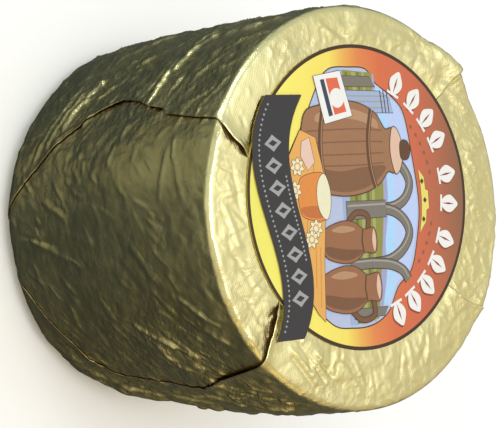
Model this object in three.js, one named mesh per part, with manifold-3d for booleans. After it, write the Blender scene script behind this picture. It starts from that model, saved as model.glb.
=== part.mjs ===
// Foil-wrapped cheese wheel: a drum of pressed cheese, the folded foil around it and the paper label on top.
// Millimetres, +Z up. The origin is the centre of the foil's base, on the surface the wheel stands on.
// -Y is the front: the label reads upright from there, and azimuths are counted from it towards +X.
import * as THREE from 'three';
import { mergeVertices } from 'three/addons/utils/BufferGeometryUtils.js';
import Module from 'manifold-3d';

// ---- Driving dimensions ---------------------------------------------------------------------------------
const CHEESE_HEIGHT = 89;
const CHEESE_TOP_RADIUS = 51.7;
const CHEESE_BASE_RADIUS = 50;
const CHEESE_BARREL = 0.6; // how far the side swells at half height
const CHEESE_TOP_ROUND = 2.2; // shoulder radius at the top edge
const CHEESE_BASE_ROUND = 5.6; // shoulder radius at the base edge

const FOIL_CLEARANCE = 0.3; // between the rind and the foil
const FOIL_THICKNESS = 0.5; // one laminated layer with its crimps
const FOIL_BASE_THICKNESS = 1.2; // the folded layers under the wheel
const FOIL_MOUTH_RADIUS = 6; // where the sheet's gathered edges meet under the wheel
const LAP_THICKNESS = 0.6; // how far the side folds stand proud of the front and back panels
const LAP_EDGE = 3; // width over which a fold steps up beside its seam
const TOP_EDGE_HOLD = 0.5; // share of an outward lift that is lost by the time the shoulder reaches the top

const LABEL_RADIUS = 39.1;
const LABEL_THICKNESS = 0.3;
const LABEL_CLEARANCE = 0.3; // between the foil and the label
const LABEL_X = -2.7;
const LABEL_Y = -1.1;
const RIBBON_WIDTH = 11.6; // at its left end
const RIBBON_END_WIDTH = 8.8; // at its right end
const RIBBON_STEPS = 24;

// The ribbon's middle line, from left to right, as the control points of one Bezier curve. They are counted
// from the label's centre in label radii, so the ribbon stays across the label's lower edge.
const RIBBON_LINE = [[-0.66, -0.65], [-0.15, -1.045], [0.355, -0.4], [0.86, -0.71]];

const SEGMENTS = 72; // around the wheel
const WELD_DISTANCE = 1e-4; // corners nearer than this are one corner
const SIDE_STEPS = 14;
const ROUND_STEPS = 4;
const TOP_STEPS = 6;
const LABEL_SEGMENTS = 96;

const degrees = Math.PI / 180;

// The sheet is folded like a parcel: the left and right folds lie over the front and back panels, and their
// edges are four seams. Each seam gives its azimuth in degrees at the label, at the rim, and then at shares of
// the height from the rim down to the base, where the two folds come together.
const SEAMS = {
  frontLeft: {
    label: -19,
    rim: -27,
    side: [[0.24, -31], [0.46, -37], [0.55, -35], [0.68, -27], [0.83, -16], [0.89, -10.5], [1, 4]],
  },
  frontRight: {
    label: 35,
    rim: 44.5,
    side: [[0.11, 47.5], [0.31, 54.5], [0.38, 57], [0.7, 53], [0.76, 47], [0.82, 32], [0.89, 20], [1, 10]],
  },
  backLeft: { label: -138, rim: -138, side: [[0.3, -141], [0.6, -146], [0.85, -158], [1, -172]] },
  backRight: { label: 142, rim: 146, side: [[0.35, 143], [0.62, 148], [0.85, 160], [1, 174]] },
};

// Places where the foil stands away from the cheese: azimuth in degrees, share of the height from the top
// down, lift in millimetres, and how far each reaches along and up the side.
const PUFFS = [
  { azimuth: -137, share: 0, lift: 1.6, along: 7, up: 5 },
  { azimuth: 146, share: 0, lift: 0.9, along: 8, up: 4 },
  { azimuth: 84, share: 0.3, lift: 1.2, along: 14, up: 18 },
  { azimuth: -66, share: 0.75, lift: 0.8, along: 12, up: 14 },
];

// ---- Levels that follow from the driving dimensions -----------------------------------------------------
const CHEESE_Z = FOIL_BASE_THICKNESS + FOIL_CLEARANCE;
const FOIL_WRAP = FOIL_CLEARANCE + FOIL_THICKNESS; // from the rind to the foil's outer face
const FOIL_TOP_Z = CHEESE_Z + CHEESE_HEIGHT + FOIL_WRAP;
const FOIL_RIM_RADIUS = CHEESE_TOP_RADIUS + FOIL_WRAP;
const LABEL_Z = FOIL_TOP_Z + LABEL_CLEARANCE;
const RIBBON_END = new THREE.Vector2(...RIBBON_LINE[3]).multiplyScalar(LABEL_RADIUS);
const RIBBON_REACH = Math.hypot(RIBBON_END.x + LABEL_X, RIBBON_END.y - RIBBON_END_WIDTH / 2 + LABEL_Y);
const LABEL_REACH = Math.max(LABEL_RADIUS + Math.hypot(LABEL_X, LABEL_Y), RIBBON_REACH);

// ---- Materials ------------------------------------------------------------------------------------------
const cheeseMaterial = new THREE.MeshStandardMaterial({ color: 0xd9b66a, roughness: 0.75, metalness: 0 });
const foilMaterial = new THREE.MeshStandardMaterial({ color: 0xc9bd7c, roughness: 0.35, metalness: 1 });
const labelMaterial = new THREE.MeshStandardMaterial({ color: 0xe0742c, roughness: 0.5, metalness: 0 });

// ---- Profiles -------------------------------------------------------------------------------------------

/** Side radius of the cheese at a height above its own base. */
function cheeseRadius(height) {
  const share = THREE.MathUtils.clamp(height / CHEESE_HEIGHT, 0, 1);
  const straight = THREE.MathUtils.lerp(CHEESE_BASE_RADIUS, CHEESE_TOP_RADIUS, share);
  return straight + CHEESE_BARREL * 4 * share * (1 - share);
}

/**
 * Outline of the drum's side and shoulders, grown outwards by a constant offset, from the edge of the base
 * flat up to the edge of the top flat, as radius and height above the cheese's own base.
 */
function drumSide(offset, baseOffset = offset) {
  const points = [];
  const baseRound = CHEESE_BASE_ROUND + offset;
  const topRound = CHEESE_TOP_ROUND + offset;
  const baseShoulder = cheeseRadius(CHEESE_BASE_ROUND) - CHEESE_BASE_ROUND;
  const topShoulder = cheeseRadius(CHEESE_HEIGHT - CHEESE_TOP_ROUND) - CHEESE_TOP_ROUND;
  const baseDrop = CHEESE_BASE_ROUND + baseOffset;
  for (let step = 0; step <= ROUND_STEPS; step++) {
    const angle = (step / ROUND_STEPS) * 90 * degrees;
    points.push(new THREE.Vector2(
      baseShoulder + baseRound * Math.sin(angle),
      CHEESE_BASE_ROUND - baseDrop * Math.cos(angle),
    ));
  }
  for (let step = 1; step < SIDE_STEPS; step++) {
    const sideHeight = CHEESE_HEIGHT - CHEESE_BASE_ROUND - CHEESE_TOP_ROUND;
    const height = CHEESE_BASE_ROUND + (step / SIDE_STEPS) * sideHeight;
    points.push(new THREE.Vector2(cheeseRadius(height) + offset, height));
  }
  for (let step = 0; step <= ROUND_STEPS; step++) {
    const angle = (step / ROUND_STEPS) * 90 * degrees;
    points.push(new THREE.Vector2(
      topShoulder + topRound * Math.cos(angle),
      CHEESE_HEIGHT - CHEESE_TOP_ROUND + topRound * Math.sin(angle),
    ));
  }
  return points;
}

/** Turns a profile of radius and height about the Z axis, starting at the front. */
function revolve(points) {
  return new THREE.LatheGeometry(points, SEGMENTS).rotateX(90 * degrees);
}

// ---- Cheese ---------------------------------------------------------------------------------------------

/** The drum of cheese, one solid. */
function makeCheese() {
  const axisBase = new THREE.Vector2(0, 0);
  const axisTop = new THREE.Vector2(0, CHEESE_HEIGHT);
  const cheese = new THREE.Mesh(revolve([axisBase, ...drumSide(0), axisTop]), cheeseMaterial);
  cheese.name = 'cheese';
  cheese.position.z = CHEESE_Z;
  return cheese;
}

// ---- Foil -----------------------------------------------------------------------------------------------

/** Azimuth of a seam, in degrees, at a radius and a height above the foil's base. */
function seamAzimuth(seam, radius, height) {
  const share = (FOIL_TOP_Z - height) / FOIL_TOP_Z;
  if (share <= 0) {
    const out = THREE.MathUtils.clamp((radius - LABEL_RADIUS) / (FOIL_RIM_RADIUS - LABEL_RADIUS), 0, 1);
    return THREE.MathUtils.lerp(seam.label, seam.rim, out);
  }
  let [lastShare, lastAzimuth] = [0, seam.rim];
  for (const [nextShare, nextAzimuth] of seam.side) {
    if (share <= nextShare) {
      return THREE.MathUtils.mapLinear(share, lastShare, nextShare, lastAzimuth, nextAzimuth);
    }
    [lastShare, lastAzimuth] = [nextShare, nextAzimuth];
  }
  return lastAzimuth;
}

/** Distance around the wheel from one azimuth to another, in millimetres, the short way round. */
function distanceAround(fromDegrees, toDegrees, radius) {
  const turn = THREE.MathUtils.euclideanModulo(toDegrees - fromDegrees + 180, 360) - 180;
  return turn * degrees * radius;
}

/** How far the side folds lift the foil's surface at a place. */
function lapLift(azimuth, radius, height) {
  const seam = (name) => seamAzimuth(SEAMS[name], radius, height);
  const onLeftFold = Math.min(
    distanceAround(azimuth, seam('frontLeft'), radius),
    distanceAround(seam('backLeft'), azimuth, radius),
  );
  const onRightFold = Math.min(
    distanceAround(seam('frontRight'), azimuth, radius),
    distanceAround(azimuth, seam('backRight'), radius),
  );
  const past = Math.max(onLeftFold, onRightFold);
  const clearOfLabel = height < FOIL_TOP_Z - CHEESE_TOP_ROUND
    ? 1
    : THREE.MathUtils.smoothstep(radius, LABEL_REACH + FOIL_THICKNESS, FOIL_RIM_RADIUS);
  return LAP_THICKNESS * THREE.MathUtils.smoothstep(past, 0, LAP_EDGE) * clearOfLabel;
}

/** How far the loose places lift the foil's surface at a place. */
function puffLift(azimuth, radius, height) {
  let lift = 0;
  for (const puff of PUFFS) {
    const around = distanceAround(puff.azimuth, azimuth, radius) / puff.along;
    const puffHeight = FOIL_TOP_Z * (1 - puff.share);
    const inward = Math.max(0, FOIL_RIM_RADIUS - radius) * (height > FOIL_TOP_Z - CHEESE_TOP_ROUND ? 1 : 0);
    const away = (Math.abs(puffHeight - height) + inward) / puff.up;
    lift += puff.lift * Math.exp(-(around ** 2) - away ** 2);
  }
  return lift * THREE.MathUtils.smoothstep(radius, LABEL_REACH, FOIL_RIM_RADIUS);
}

/**
 * The folded foil: a shell around the cheese, closed at the top and open under the base where the sheet's
 * gathered edges meet. Its inside is the plain drum, and its outside carries the folds and the loose places.
 */
function makeFoil() {
  const inside = drumSide(FOIL_CLEARANCE).reverse();
  const outside = drumSide(FOIL_WRAP, FOIL_CLEARANCE + FOIL_BASE_THICKNESS);
  const topFlatRadius = outside[outside.length - 1].x;
  const topFlat = [];
  for (let step = 1; step <= TOP_STEPS; step++) {
    const radius = topFlatRadius * (1 - step / TOP_STEPS);
    topFlat.push(new THREE.Vector2(radius, CHEESE_HEIGHT + FOIL_WRAP));
  }
  const innerCount = inside.length + 2;
  const profile = [
    new THREE.Vector2(0, CHEESE_HEIGHT + FOIL_CLEARANCE),
    ...inside,
    new THREE.Vector2(FOIL_MOUTH_RADIUS, -FOIL_CLEARANCE),
    new THREE.Vector2(FOIL_MOUTH_RADIUS, -CHEESE_Z),
    ...outside,
    ...topFlat,
  ];
  const geometry = revolve(profile);
  geometry.translate(0, 0, CHEESE_Z);
  liftOutside(geometry, profile, innerCount);
  const foil = new THREE.Mesh(geometry, foilMaterial);
  foil.name = 'foil_wrap';
  return foil;
}

/** Moves the outer vertices of the turned foil out along the profile by the fold's and the puffs' lift. */
function liftOutside(geometry, profile, innerCount) {
  const positions = geometry.attributes.position;
  const place = new THREE.Vector3();
  for (let index = 0; index < positions.count; index++) {
    const step = index % profile.length;
    if (step <= innerCount || step === profile.length - 1) continue;
    place.fromBufferAttribute(positions, index);
    const radius = Math.hypot(place.x, place.y);
    const onBase = place.z < CHEESE_BASE_ROUND;
    const onTop = place.z > FOIL_TOP_Z - CHEESE_TOP_ROUND;
    const azimuth = Math.atan2(place.x, -place.y) / degrees;
    const lift = lapLift(azimuth, radius, place.z) + puffLift(azimuth, radius, place.z);
    const rise = onTop ? 1 - (FOIL_TOP_Z - place.z) / CHEESE_TOP_ROUND : 0;
    const spread = (onBase ? place.z / CHEESE_BASE_ROUND : 1) * (1 - rise * rise * TOP_EDGE_HOLD);
    const grown = (radius + lift * spread) / radius;
    positions.setXYZ(index, place.x * grown, place.y * grown, place.z + lift * rise);
  }
}

// ---- Label ----------------------------------------------------------------------------------------------

/** Outline of the ribbon that waves across the label and stands out past it on both sides. */
function ribbonShape() {
  const [start, pullDown, pullUp, end] = RIBBON_LINE.map(
    (point) => new THREE.Vector2(...point).multiplyScalar(LABEL_RADIUS),
  );
  const middle = new THREE.CubicBezierCurve(start, pullDown, pullUp, end);
  const upper = [];
  const lower = [];
  for (let step = 0; step <= RIBBON_STEPS; step++) {
    const share = step / RIBBON_STEPS;
    const point = middle.getPoint(share);
    const half = THREE.MathUtils.lerp(RIBBON_WIDTH, RIBBON_END_WIDTH, share * share) / 2;
    upper.unshift(new THREE.Vector2(point.x, point.y + half));
    lower.push(new THREE.Vector2(point.x, point.y - half));
  }
  return new THREE.Shape([...lower, ...upper]);
}

/** Turns a closed three.js geometry into a solid for joining. */
function toSolid(wasm, geometry) {
  const bare = geometry.clone();
  bare.deleteAttribute('normal');
  bare.deleteAttribute('uv');
  const merged = mergeVertices(bare, WELD_DISTANCE);
  return new wasm.Manifold(new wasm.Mesh({
    numProp: 3,
    vertProperties: new Float32Array(merged.attributes.position.array),
    triVerts: new Uint32Array(merged.index.array),
  }));
}

/** Turns a solid back into a three.js geometry. */
function toGeometry(solid) {
  const mesh = solid.getMesh();
  const geometry = new THREE.BufferGeometry();
  geometry.setAttribute('position', new THREE.BufferAttribute(new Float32Array(mesh.vertProperties), 3));
  geometry.setIndex(new THREE.BufferAttribute(new Uint32Array(mesh.triVerts), 1));
  geometry.computeVertexNormals();
  return geometry;
}

/** The paper label: a disc and its ribbon, die-cut as one piece. */
function makeLabel(wasm) {
  const disc = new THREE.Shape().absarc(0, 0, LABEL_RADIUS, 0, 2 * Math.PI);
  const sheet = { depth: LABEL_THICKNESS, bevelEnabled: false, curveSegments: LABEL_SEGMENTS };
  const discSolid = toSolid(wasm, new THREE.ExtrudeGeometry(disc, sheet));
  const ribbonSolid = toSolid(wasm, new THREE.ExtrudeGeometry(ribbonShape(), sheet));
  const label = new THREE.Mesh(toGeometry(discSolid.add(ribbonSolid)), labelMaterial);
  label.name = 'label';
  label.position.set(LABEL_X, LABEL_Y, LABEL_Z);
  return label;
}

// ---- Assembly -------------------------------------------------------------------------------------------
const wasm = await Module();
wasm.setup();

const cheeseWheel = new THREE.Group();
cheeseWheel.add(makeCheese(), makeFoil(), makeLabel(wasm));

export default cheeseWheel;
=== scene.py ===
"""Looks of the foil-wrapped cheese wheel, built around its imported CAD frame.

The wheel stands on its base, +Z up, with its front towards -Y. Azimuths are counted in degrees from the
front towards +X, and heights in millimetres from the floor. A "run" is a distance along the wheel's outline,
from the centre of the top out to the rim, down the side and in under the base.
"""

import logging
import math
from dataclasses import dataclass, field
from enum import Enum

import bmesh
import bpy
import numpy as np
from mathutils import Matrix, Vector


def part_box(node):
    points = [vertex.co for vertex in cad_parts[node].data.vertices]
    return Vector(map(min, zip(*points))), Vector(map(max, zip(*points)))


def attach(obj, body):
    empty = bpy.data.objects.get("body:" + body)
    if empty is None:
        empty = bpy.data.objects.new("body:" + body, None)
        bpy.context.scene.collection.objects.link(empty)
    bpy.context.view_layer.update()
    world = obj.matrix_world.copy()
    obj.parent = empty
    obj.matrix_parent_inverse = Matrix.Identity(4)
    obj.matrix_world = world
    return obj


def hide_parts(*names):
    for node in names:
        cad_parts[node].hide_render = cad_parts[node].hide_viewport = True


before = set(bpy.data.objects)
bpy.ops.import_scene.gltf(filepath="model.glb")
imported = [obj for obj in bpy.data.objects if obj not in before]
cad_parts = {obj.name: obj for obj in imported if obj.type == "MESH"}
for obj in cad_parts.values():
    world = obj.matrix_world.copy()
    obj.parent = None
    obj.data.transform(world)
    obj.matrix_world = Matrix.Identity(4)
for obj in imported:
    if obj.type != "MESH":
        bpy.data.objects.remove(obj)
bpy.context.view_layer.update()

MM = 0.001
BODY = "root"
SHEET_UNIT = 100 * MM  # what 1 stands for on the foil's own flat map

Array = np.ndarray
Point = tuple[float, float]
Colour = tuple[float, float, float]
Stops = tuple[tuple[float, Colour], ...] | list[tuple[float, Colour]]
Socket = bpy.types.NodeSocket
Feed = Socket | float | tuple | Vector

log = logging.getLogger("cheese_wheel")


# ---- Meshes --------------------------------------------------------------------------------------


def finished_piece(
    mesh_draft: bmesh.types.BMesh,
    name: str,
    materials: list[bpy.types.Material],
    smooth: bool = True,
) -> bpy.types.Object:
    """Turns a bmesh into an object of the scene that rides on the wheel's one body.

    Args:
        mesh_draft: The finished bmesh, in metres. It is freed.
        name: The piece's name.
        materials: The piece's materials, in slot order.
        smooth: Whether its faces are shaded smooth.

    Returns:
        The new object, at the origin.
    """
    mesh = bpy.data.meshes.new(name)
    mesh_draft.to_mesh(mesh)
    mesh_draft.free()
    for material in materials:
        mesh.materials.append(material)
    mesh.polygons.foreach_set("use_smooth", [smooth] * len(mesh.polygons))
    piece = bpy.data.objects.new(name, mesh)
    bpy.context.scene.collection.objects.link(piece)
    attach(piece, BODY)
    return piece


def thicken(piece: bpy.types.Object, name: str, thickness: float) -> bpy.types.SolidifyModifier:
    """Gives a sheet its thickness.

    Args:
        piece: The sheet, whose faces are its outer side.
        name: The modifier's name.
        thickness: How far the wall reaches inwards, in metres.

    Returns:
        The modifier.
    """
    wall = piece.modifiers.new(name, "SOLIDIFY")
    wall.thickness = thickness
    wall.offset = -1
    return wall


# ---- The wheel's outline -------------------------------------------------------------------------


@dataclass
class WheelOutline:
    """The plain outside of the wrapped wheel, before its folds and crumples, taken from the CAD nodes."""

    wrap: float = 0.8 * MM  # from the rind to the foil's outer face
    rim_inset: float = 0.05 * MM  # from the wrapped cheese's widest girth in to the top's edge
    base_inset: float = 1.75 * MM  # and in to the foot of the side
    barrel: float = 0.6 * MM
    top_round: float = 2.3 * MM
    base_round: float = 6.4 * MM
    mouth: float = 2.5 * MM  # where the sheet's gathered edges meet under the wheel
    base_lift: float = 0.55 * MM  # keeps the crumpled base off the floor
    steps: int = 60  # samples for each stretch of the outline
    shortest_step: float = 1e-7

    def __post_init__(self) -> None:
        """Samples the outline once, from the centre of the top to the mouth under the base."""
        low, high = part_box("cheese")
        girth = (high.x - low.x) / 2 + self.wrap
        self.top = high.z + self.wrap
        self.rim = girth - self.rim_inset
        base = girth - self.base_inset
        share = np.linspace(0, 1, self.steps)
        turn = share * math.pi / 2
        top_flat = self.rim - self.top_round
        base_flat = base - self.base_round
        side_height = self.top - self.top_round - self.base_round
        side = self.rim + (base - self.rim) * share + self.barrel * 4 * share * (1 - share)
        radius = np.concatenate([
            top_flat * share,
            top_flat + self.top_round * np.sin(turn),
            side,
            base_flat + self.base_round * np.cos(turn),
            base_flat + (self.mouth - base_flat) * share,
        ])
        height = np.concatenate([
            np.full(self.steps, self.top),
            self.top - self.top_round * (1 - np.cos(turn)),
            self.top - self.top_round - side_height * share,
            self.base_round - (self.base_round - self.base_lift) * np.sin(turn),
            np.full(self.steps, self.base_lift),
        ])
        step = np.hypot(np.diff(radius), np.diff(height))
        keep = np.concatenate([[True], step > self.shortest_step])
        self.radii, self.heights = radius[keep], height[keep]
        self.runs = np.concatenate([[0], np.cumsum(np.hypot(np.diff(self.radii), np.diff(self.heights)))])
        self.length = float(self.runs[-1])
        slope_r = np.gradient(self.radii, self.runs)
        slope_z = np.gradient(self.heights, self.runs)
        size = np.hypot(slope_r, slope_z)
        self.out_r, self.out_z = -slope_z / size, slope_r / size

    @property
    def rim_run(self) -> float:
        """The run of the rim, half way round the top shoulder."""
        return self.rim - self.top_round + self.top_round * math.pi / 4

    def place(self, run: Array, azimuth: Array, lift: Array) -> Array:
        """Puts surface places into space.

        Args:
            run: Distance along the outline, in metres.
            azimuth: Azimuth in degrees.
            lift: Distance out from the plain outline, in metres.

        Returns:
            One row of x, y and z for each place.
        """
        radius = np.interp(run, self.runs, self.radii) + lift * np.interp(run, self.runs, self.out_r)
        height = np.interp(run, self.runs, self.heights) + lift * np.interp(run, self.runs, self.out_z)
        turn = np.radians(azimuth)
        return np.stack([radius * np.sin(turn), -radius * np.cos(turn), height], axis=-1)


# ---- Crumples ------------------------------------------------------------------------------------


@dataclass
class FacetNoise:
    """Flat facets that meet in sharp creases: how much nearer one scatter of spots is than another one."""

    seed: int
    lattice: int = 48

    def __post_init__(self) -> None:
        """Draws both scatters, one spot in each cell."""
        draw = np.random.default_rng(self.seed)
        self.scatters = [draw.random((self.lattice,) * 3 + (3,)) for _ in range(2)]

    def relief(self, points: Array) -> Array:
        """The relief at each point.

        Args:
            points: Rows of x, y and z, in cell sizes.

        Returns:
            Values mostly between -0.5 and 0.5, in cell sizes.
        """
        home = np.floor(points).astype(int)
        nearest = [np.full(len(points), np.inf) for _ in self.scatters]
        for offset in np.ndindex(3, 3, 3):
            cell = home + np.array(offset) - 1
            key = tuple((cell % self.lattice).T)
            for index, scatter in enumerate(self.scatters):
                away = ((cell + scatter[key] - points) ** 2).sum(axis=1)
                nearest[index] = np.minimum(nearest[index], away)
        return nearest[0] - nearest[1]


class Face(Enum):
    """A side of the wheel, and with it how a crease's places are given."""

    TOP = "x and y in millimetres"
    SIDE = "azimuth in degrees and height in millimetres"


@dataclass(frozen=True)
class Crease:
    """A ridge or dent pressed into the foil, straight between two places."""

    start: Point
    end: Point
    lift: float  # millimetres, below 0 for a dent
    width: float  # millimetres from the ridge line to the foot
    face: Face = Face.SIDE


@dataclass(frozen=True)
class Wrinkles:
    """Short creases scattered over one face, between the chosen ones."""

    face: Face
    count: int
    spread: float  # radians that their slants differ by
    reaches: Point  # shortest and longest, in millimetres on the top and in the side's own units there
    lifts: tuple[float, ...]
    widths: Point

    def one(self, draw: np.random.Generator, start: Point, slant: float, strength: float = 1.0) -> Crease:
        """Draws one wrinkle.

        Args:
            draw: The random numbers that it takes.
            start: Where it starts, as its face gives places.
            slant: The way that wrinkles run there, in radians.
            strength: The share of its height that it keeps.

        Returns:
            The wrinkle.
        """
        angle = float(draw.normal(slant, self.spread))
        reach = float(draw.uniform(*self.reaches))
        lift = float(draw.choice(self.lifts)) * strength
        end = (start[0] + reach * math.cos(angle), start[1] + reach * math.sin(angle))
        return Crease(start, end, lift, float(draw.uniform(*self.widths)), self.face)


@dataclass(frozen=True)
class Puff:
    """A place where the foil stands away from the cheese."""

    azimuth: float
    run: float  # millimetres along the outline
    lift: float  # millimetres
    across: float
    along: float


@dataclass(frozen=True)
class Crumple:
    """One size of facet over the whole foil."""

    cell: float  # millimetres
    slope: float  # how steep its facets are, in millimetres of rise for each millimetre
    stretch: tuple[float, float, float] = (1, 1, 1)


@dataclass(frozen=True)
class Zone:
    """A soft-edged patch of the foil that is crumpled less or more than what lies round it."""

    amount: float  # how much less or more, at its middle
    azimuth: float
    across: float  # degrees from its middle to its edge
    run: float = 0.0  # millimetres along the outline
    along: float = math.inf  # millimetres from its middle to its edge
    firmness: tuple[int, int] = (4, 4)  # how sharply it ends, across and along
    face: Face | None = None  # the only face that it lies on, where it keeps to one

    def weight(self, run: Array, azimuth: Array, on_top: Array) -> Array:
        """How much it changes each place.

        Args:
            run: Runs in metres.
            azimuth: Azimuths in degrees.
            on_top: 1 on the top, 0 on the side.

        Returns:
            Its amount at its middle, and less towards its edge.
        """
        aside = (turn_within_half(azimuth - self.azimuth) / self.across) ** self.firmness[0]
        ahead = ((run / MM - self.run) / self.along) ** self.firmness[1]
        share = {Face.TOP: on_top, Face.SIDE: 1 - on_top, None: 1}[self.face]
        return self.amount * np.exp(-aside - ahead) * share


def turn_within_half(azimuth: Array) -> Array:
    """The same angle, between -180 and 180 degrees."""
    return (azimuth + 180) % 360 - 180


@dataclass
class FoilRelief:
    """How far the crumpled foil stands off the plain outline, everywhere on the wheel."""

    outline: WheelOutline
    crumples: tuple[Crumple, ...] = (
        Crumple(17, 0.045, (1, 1, 0.7)),
        Crumple(7.5, 0.048, (1, 1, 0.75)),
        Crumple(3.6, 0.068),
        Crumple(1.9, 0.078),
    )
    creases: tuple[Crease, ...] = (
        Crease((-58, 82), (-53, 77), 0.5, 1.1),
        Crease((-67, 79), (-61, 65), 0.8, 1.7),
        Crease((-41, 87), (-32, 83), 0.55, 1.0),
        Crease((-38, 84), (-31, 74), 0.6, 0.9),
        Crease((-47, 86), (-43, 78), 0.6, 0.9),
        Crease((-60, 88), (-56, 80), 0.7, 1.0),
        Crease((-70, 84), (-66, 74), 0.8, 1.1),
        Crease((-51, 79), (-42, 72), 0.5, 1.2),
        Crease((-64, 67), (-56, 62), 0.8, 1.5),
        Crease((-57, 63), (-46, 62), 0.9, 1.5),
        Crease((-51, 60), (-33, 61), 0.9, 1.4),
        Crease((-48, 58), (-36, 57), -0.5, 1.2),
        Crease((-42, 55), (-35, 51), 0.5, 1.2),
        Crease((-58, 50), (-52, 40), 0.9, 1.3),
        Crease((-67, 62), (-58, 60), 0.6, 1.3),
        Crease((-45, 69), (-36, 67), -0.4, 1.2),
        Crease((-53, 36), (-46, 30), 0.7, 2.2),
        Crease((-48, 31), (-30, 24), 0.9, 1.6),
        Crease((-45, 26), (-24, 19), 0.8, 1.5),
        Crease((-48, 22), (-20, 14), 0.6, 1.3),
        Crease((-34, 36), (-30, 33), 0.6, 1.2),
        Crease((-72, 40), (-60, 28), 0.6, 2.0),
        Crease((30.5, 84), (21.5, 73), 0.6, 0.95),
        Crease((38.5, 62), (30, 50), 0.65, 1.1),
        Crease((38, 84), (29, 76), 0.35, 1.3),
        Crease((44, 75), (34, 72), 0.35, 1.4),
        Crease((27, 69), (19, 64), 0.3, 1.2),
        Crease((52, 60), (36, 54), 0.35, 1.8),
        Crease((18, 68), (6, 60), 0.25, 1.8),
        Crease((12, 38), (8, 27), 0.4, 1.4),
        Crease((8, 27), (3, 14), 0.45, 1.5),
        Crease((-2, 33), (-8, 21), 0.35, 1.4),
        Crease((5, 27), (2, 10), -0.3, 1.2),
        Crease((-4, 82), (-17, 77), 0.2, 1.6),
        Crease((-20, 74), (-5, 73), 0.25, 1.4),
        Crease((-22, 52), (-16, 51), 0.3, 1.1),
        Crease((34, 24), (25, 25), 0.3, 1.3),
        Crease((60, 86), (53, 74), 0.6, 0.9),
        Crease((62, 80), (56, 68), 0.7, 0.9),
        Crease((66, 84), (58, 66), 0.8, 1.1),
        Crease((70, 86), (62, 72), 0.7, 0.9),
        Crease((74, 78), (66, 60), 0.9, 1.3),
        Crease((64, 66), (60, 56), 0.8, 1.1),
        Crease((70, 62), (63, 50), 0.9, 1.2),
        Crease((66, 50), (62, 38), 0.8, 1.2),
        Crease((72, 46), (64, 33), 0.9, 1.4),
        Crease((62, 34), (57, 22), 0.8, 1.3),
        Crease((66, 30), (58, 17), 0.9, 1.4),
        Crease((57, 20), (50, 12), 0.8, 1.3),
        Crease((42, 80), (33, 70), 0.55, 0.8),
        Crease((46, 77), (39, 68), 0.6, 0.8),
        Crease((44, 70), (37, 60), 0.6, 0.9),
        Crease((50, 72), (45, 62), 0.55, 0.9),
        Crease((34, 79), (27, 71), 0.45, 0.8),
        Crease((49, 63), (43, 55), 0.5, 0.9),
        Crease((40, 66), (35, 62), 0.5, 0.7),
        Crease((84, 52), (78, 44), 0.9, 5.0),
        Crease((78, 44), (70, 29), 1.2, 6.0),
        Crease((70, 29), (61, 13), 1.2, 6.0),
        Crease((61, 13), (44, 9), 0.9, 5.0),
        Crease((31, -27), (43, -18), -0.75, 0.9, Face.TOP),
        Crease((33, -29.5), (41, -22), 0.5, 0.9, Face.TOP),
        Crease((35, -29), (46, -20), -0.7, 0.9, Face.TOP),
        Crease((34, -23.5), (42, -15), -0.6, 0.8, Face.TOP),
        Crease((35, -21), (44, -13), 0.5, 0.9, Face.TOP),
        Crease((38, -19), (46, -11), -0.5, 0.9, Face.TOP),
        Crease((37, -14), (46, -6), 0.3, 1.2, Face.TOP),
        Crease((-3, -47), (8, -43), 0.3, 1.1, Face.TOP),
        Crease((8, -46), (17, -40), -0.3, 1.1, Face.TOP),
        Crease((-12, -44), (-2, -42), -0.25, 1.0, Face.TOP),
        Crease((-47, -12), (-42, -4), 0.3, 1.2, Face.TOP),
        Crease((-30, 34), (-23, 43), 0.5, 1.4, Face.TOP),
        Crease((22, 36), (29, 43), 0.4, 1.4, Face.TOP),
    )
    puffs: tuple[Puff, ...] = (
        Puff(-135, 52, 2.4, 8, 4),
        Puff(-128, 48, 0.7, 5, 6),
        Puff(149, 52, 0.9, 8, 3.5),
        Puff(-12, 86, 1.2, 18, 18),
        Puff(84, 80, 1.2, 14, 18),
        Puff(64, 126, 0.9, 14, 8),
        Puff(-66, 118, 0.6, 12, 14),
        Puff(13, 52, 0.45, 3.5, 2.5),
        Puff(22, 52.5, 0.6, 3, 2.5),
        Puff(29, 52, 0.7, 3, 3),
        Puff(36, 52, 0.7, 3, 3),
        Puff(-4, 53, 0.25, 4, 2),
        Puff(-15, 52, 0.2, 5, 2.5),
    )
    calm_zones: tuple[Zone, ...] = (
        Zone(0.85, -40, 15, 48, 6),
        Zone(0.85, 53, 8, 46, 6),
        Zone(0.4, 5, 25, face=Face.TOP),
        Zone(0.55, 4, 30, face=Face.SIDE),
        Zone(0.75, -12, 15, 68, 17),
        Zone(0.7, 5, 40, 54, 4, (4, 2)),
    )
    busy_zones: tuple[Zone, ...] = (
        Zone(0.75, 37, 14, 72, 15, (2, 2)),
        Zone(0.8, 62, 12, 66, 18, (2, 2)),
    )
    top_calm: float = 0.2  # how much less the whole top is crumpled
    top_end: Point = (52, 1.2)  # the run where the top ends, and how softly, in millimetres
    dome_start: float = 39.0  # millimetres from the centre, where the top starts to fall away to the rim
    dome_width: float = 11.7
    dome_drop: float = 0.55
    dome_fade: float = 4.0  # millimetres below the rim in which the side comes back out
    deepest: float = 0.62  # millimetres that a dent may go before it meets the cheese
    settle: float = 0.25  # millimetres that the side's crumples lie in, so that only their tops reach out
    side_wrinkles: Wrinkles = Wrinkles(Face.SIDE, 620, 0.5, (2, 9), (-0.22, 0.2, 0.3, 0.45), (0.65, 1.15))
    top_wrinkles: Wrinkles = Wrinkles(Face.TOP, 400, 0.6, (2, 8), (-0.25, -0.16, 0.14, 0.24), (0.5, 1.1))
    side_heights: Point = (4, 87)  # millimetres, lowest and highest start of a wrinkle on the side
    top_radii: Point = (37, 51)  # millimetres, nearest and farthest start of a wrinkle on the top
    left_slant: float = -0.65  # radians that the side's wrinkles slant by, left and right of the front
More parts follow.
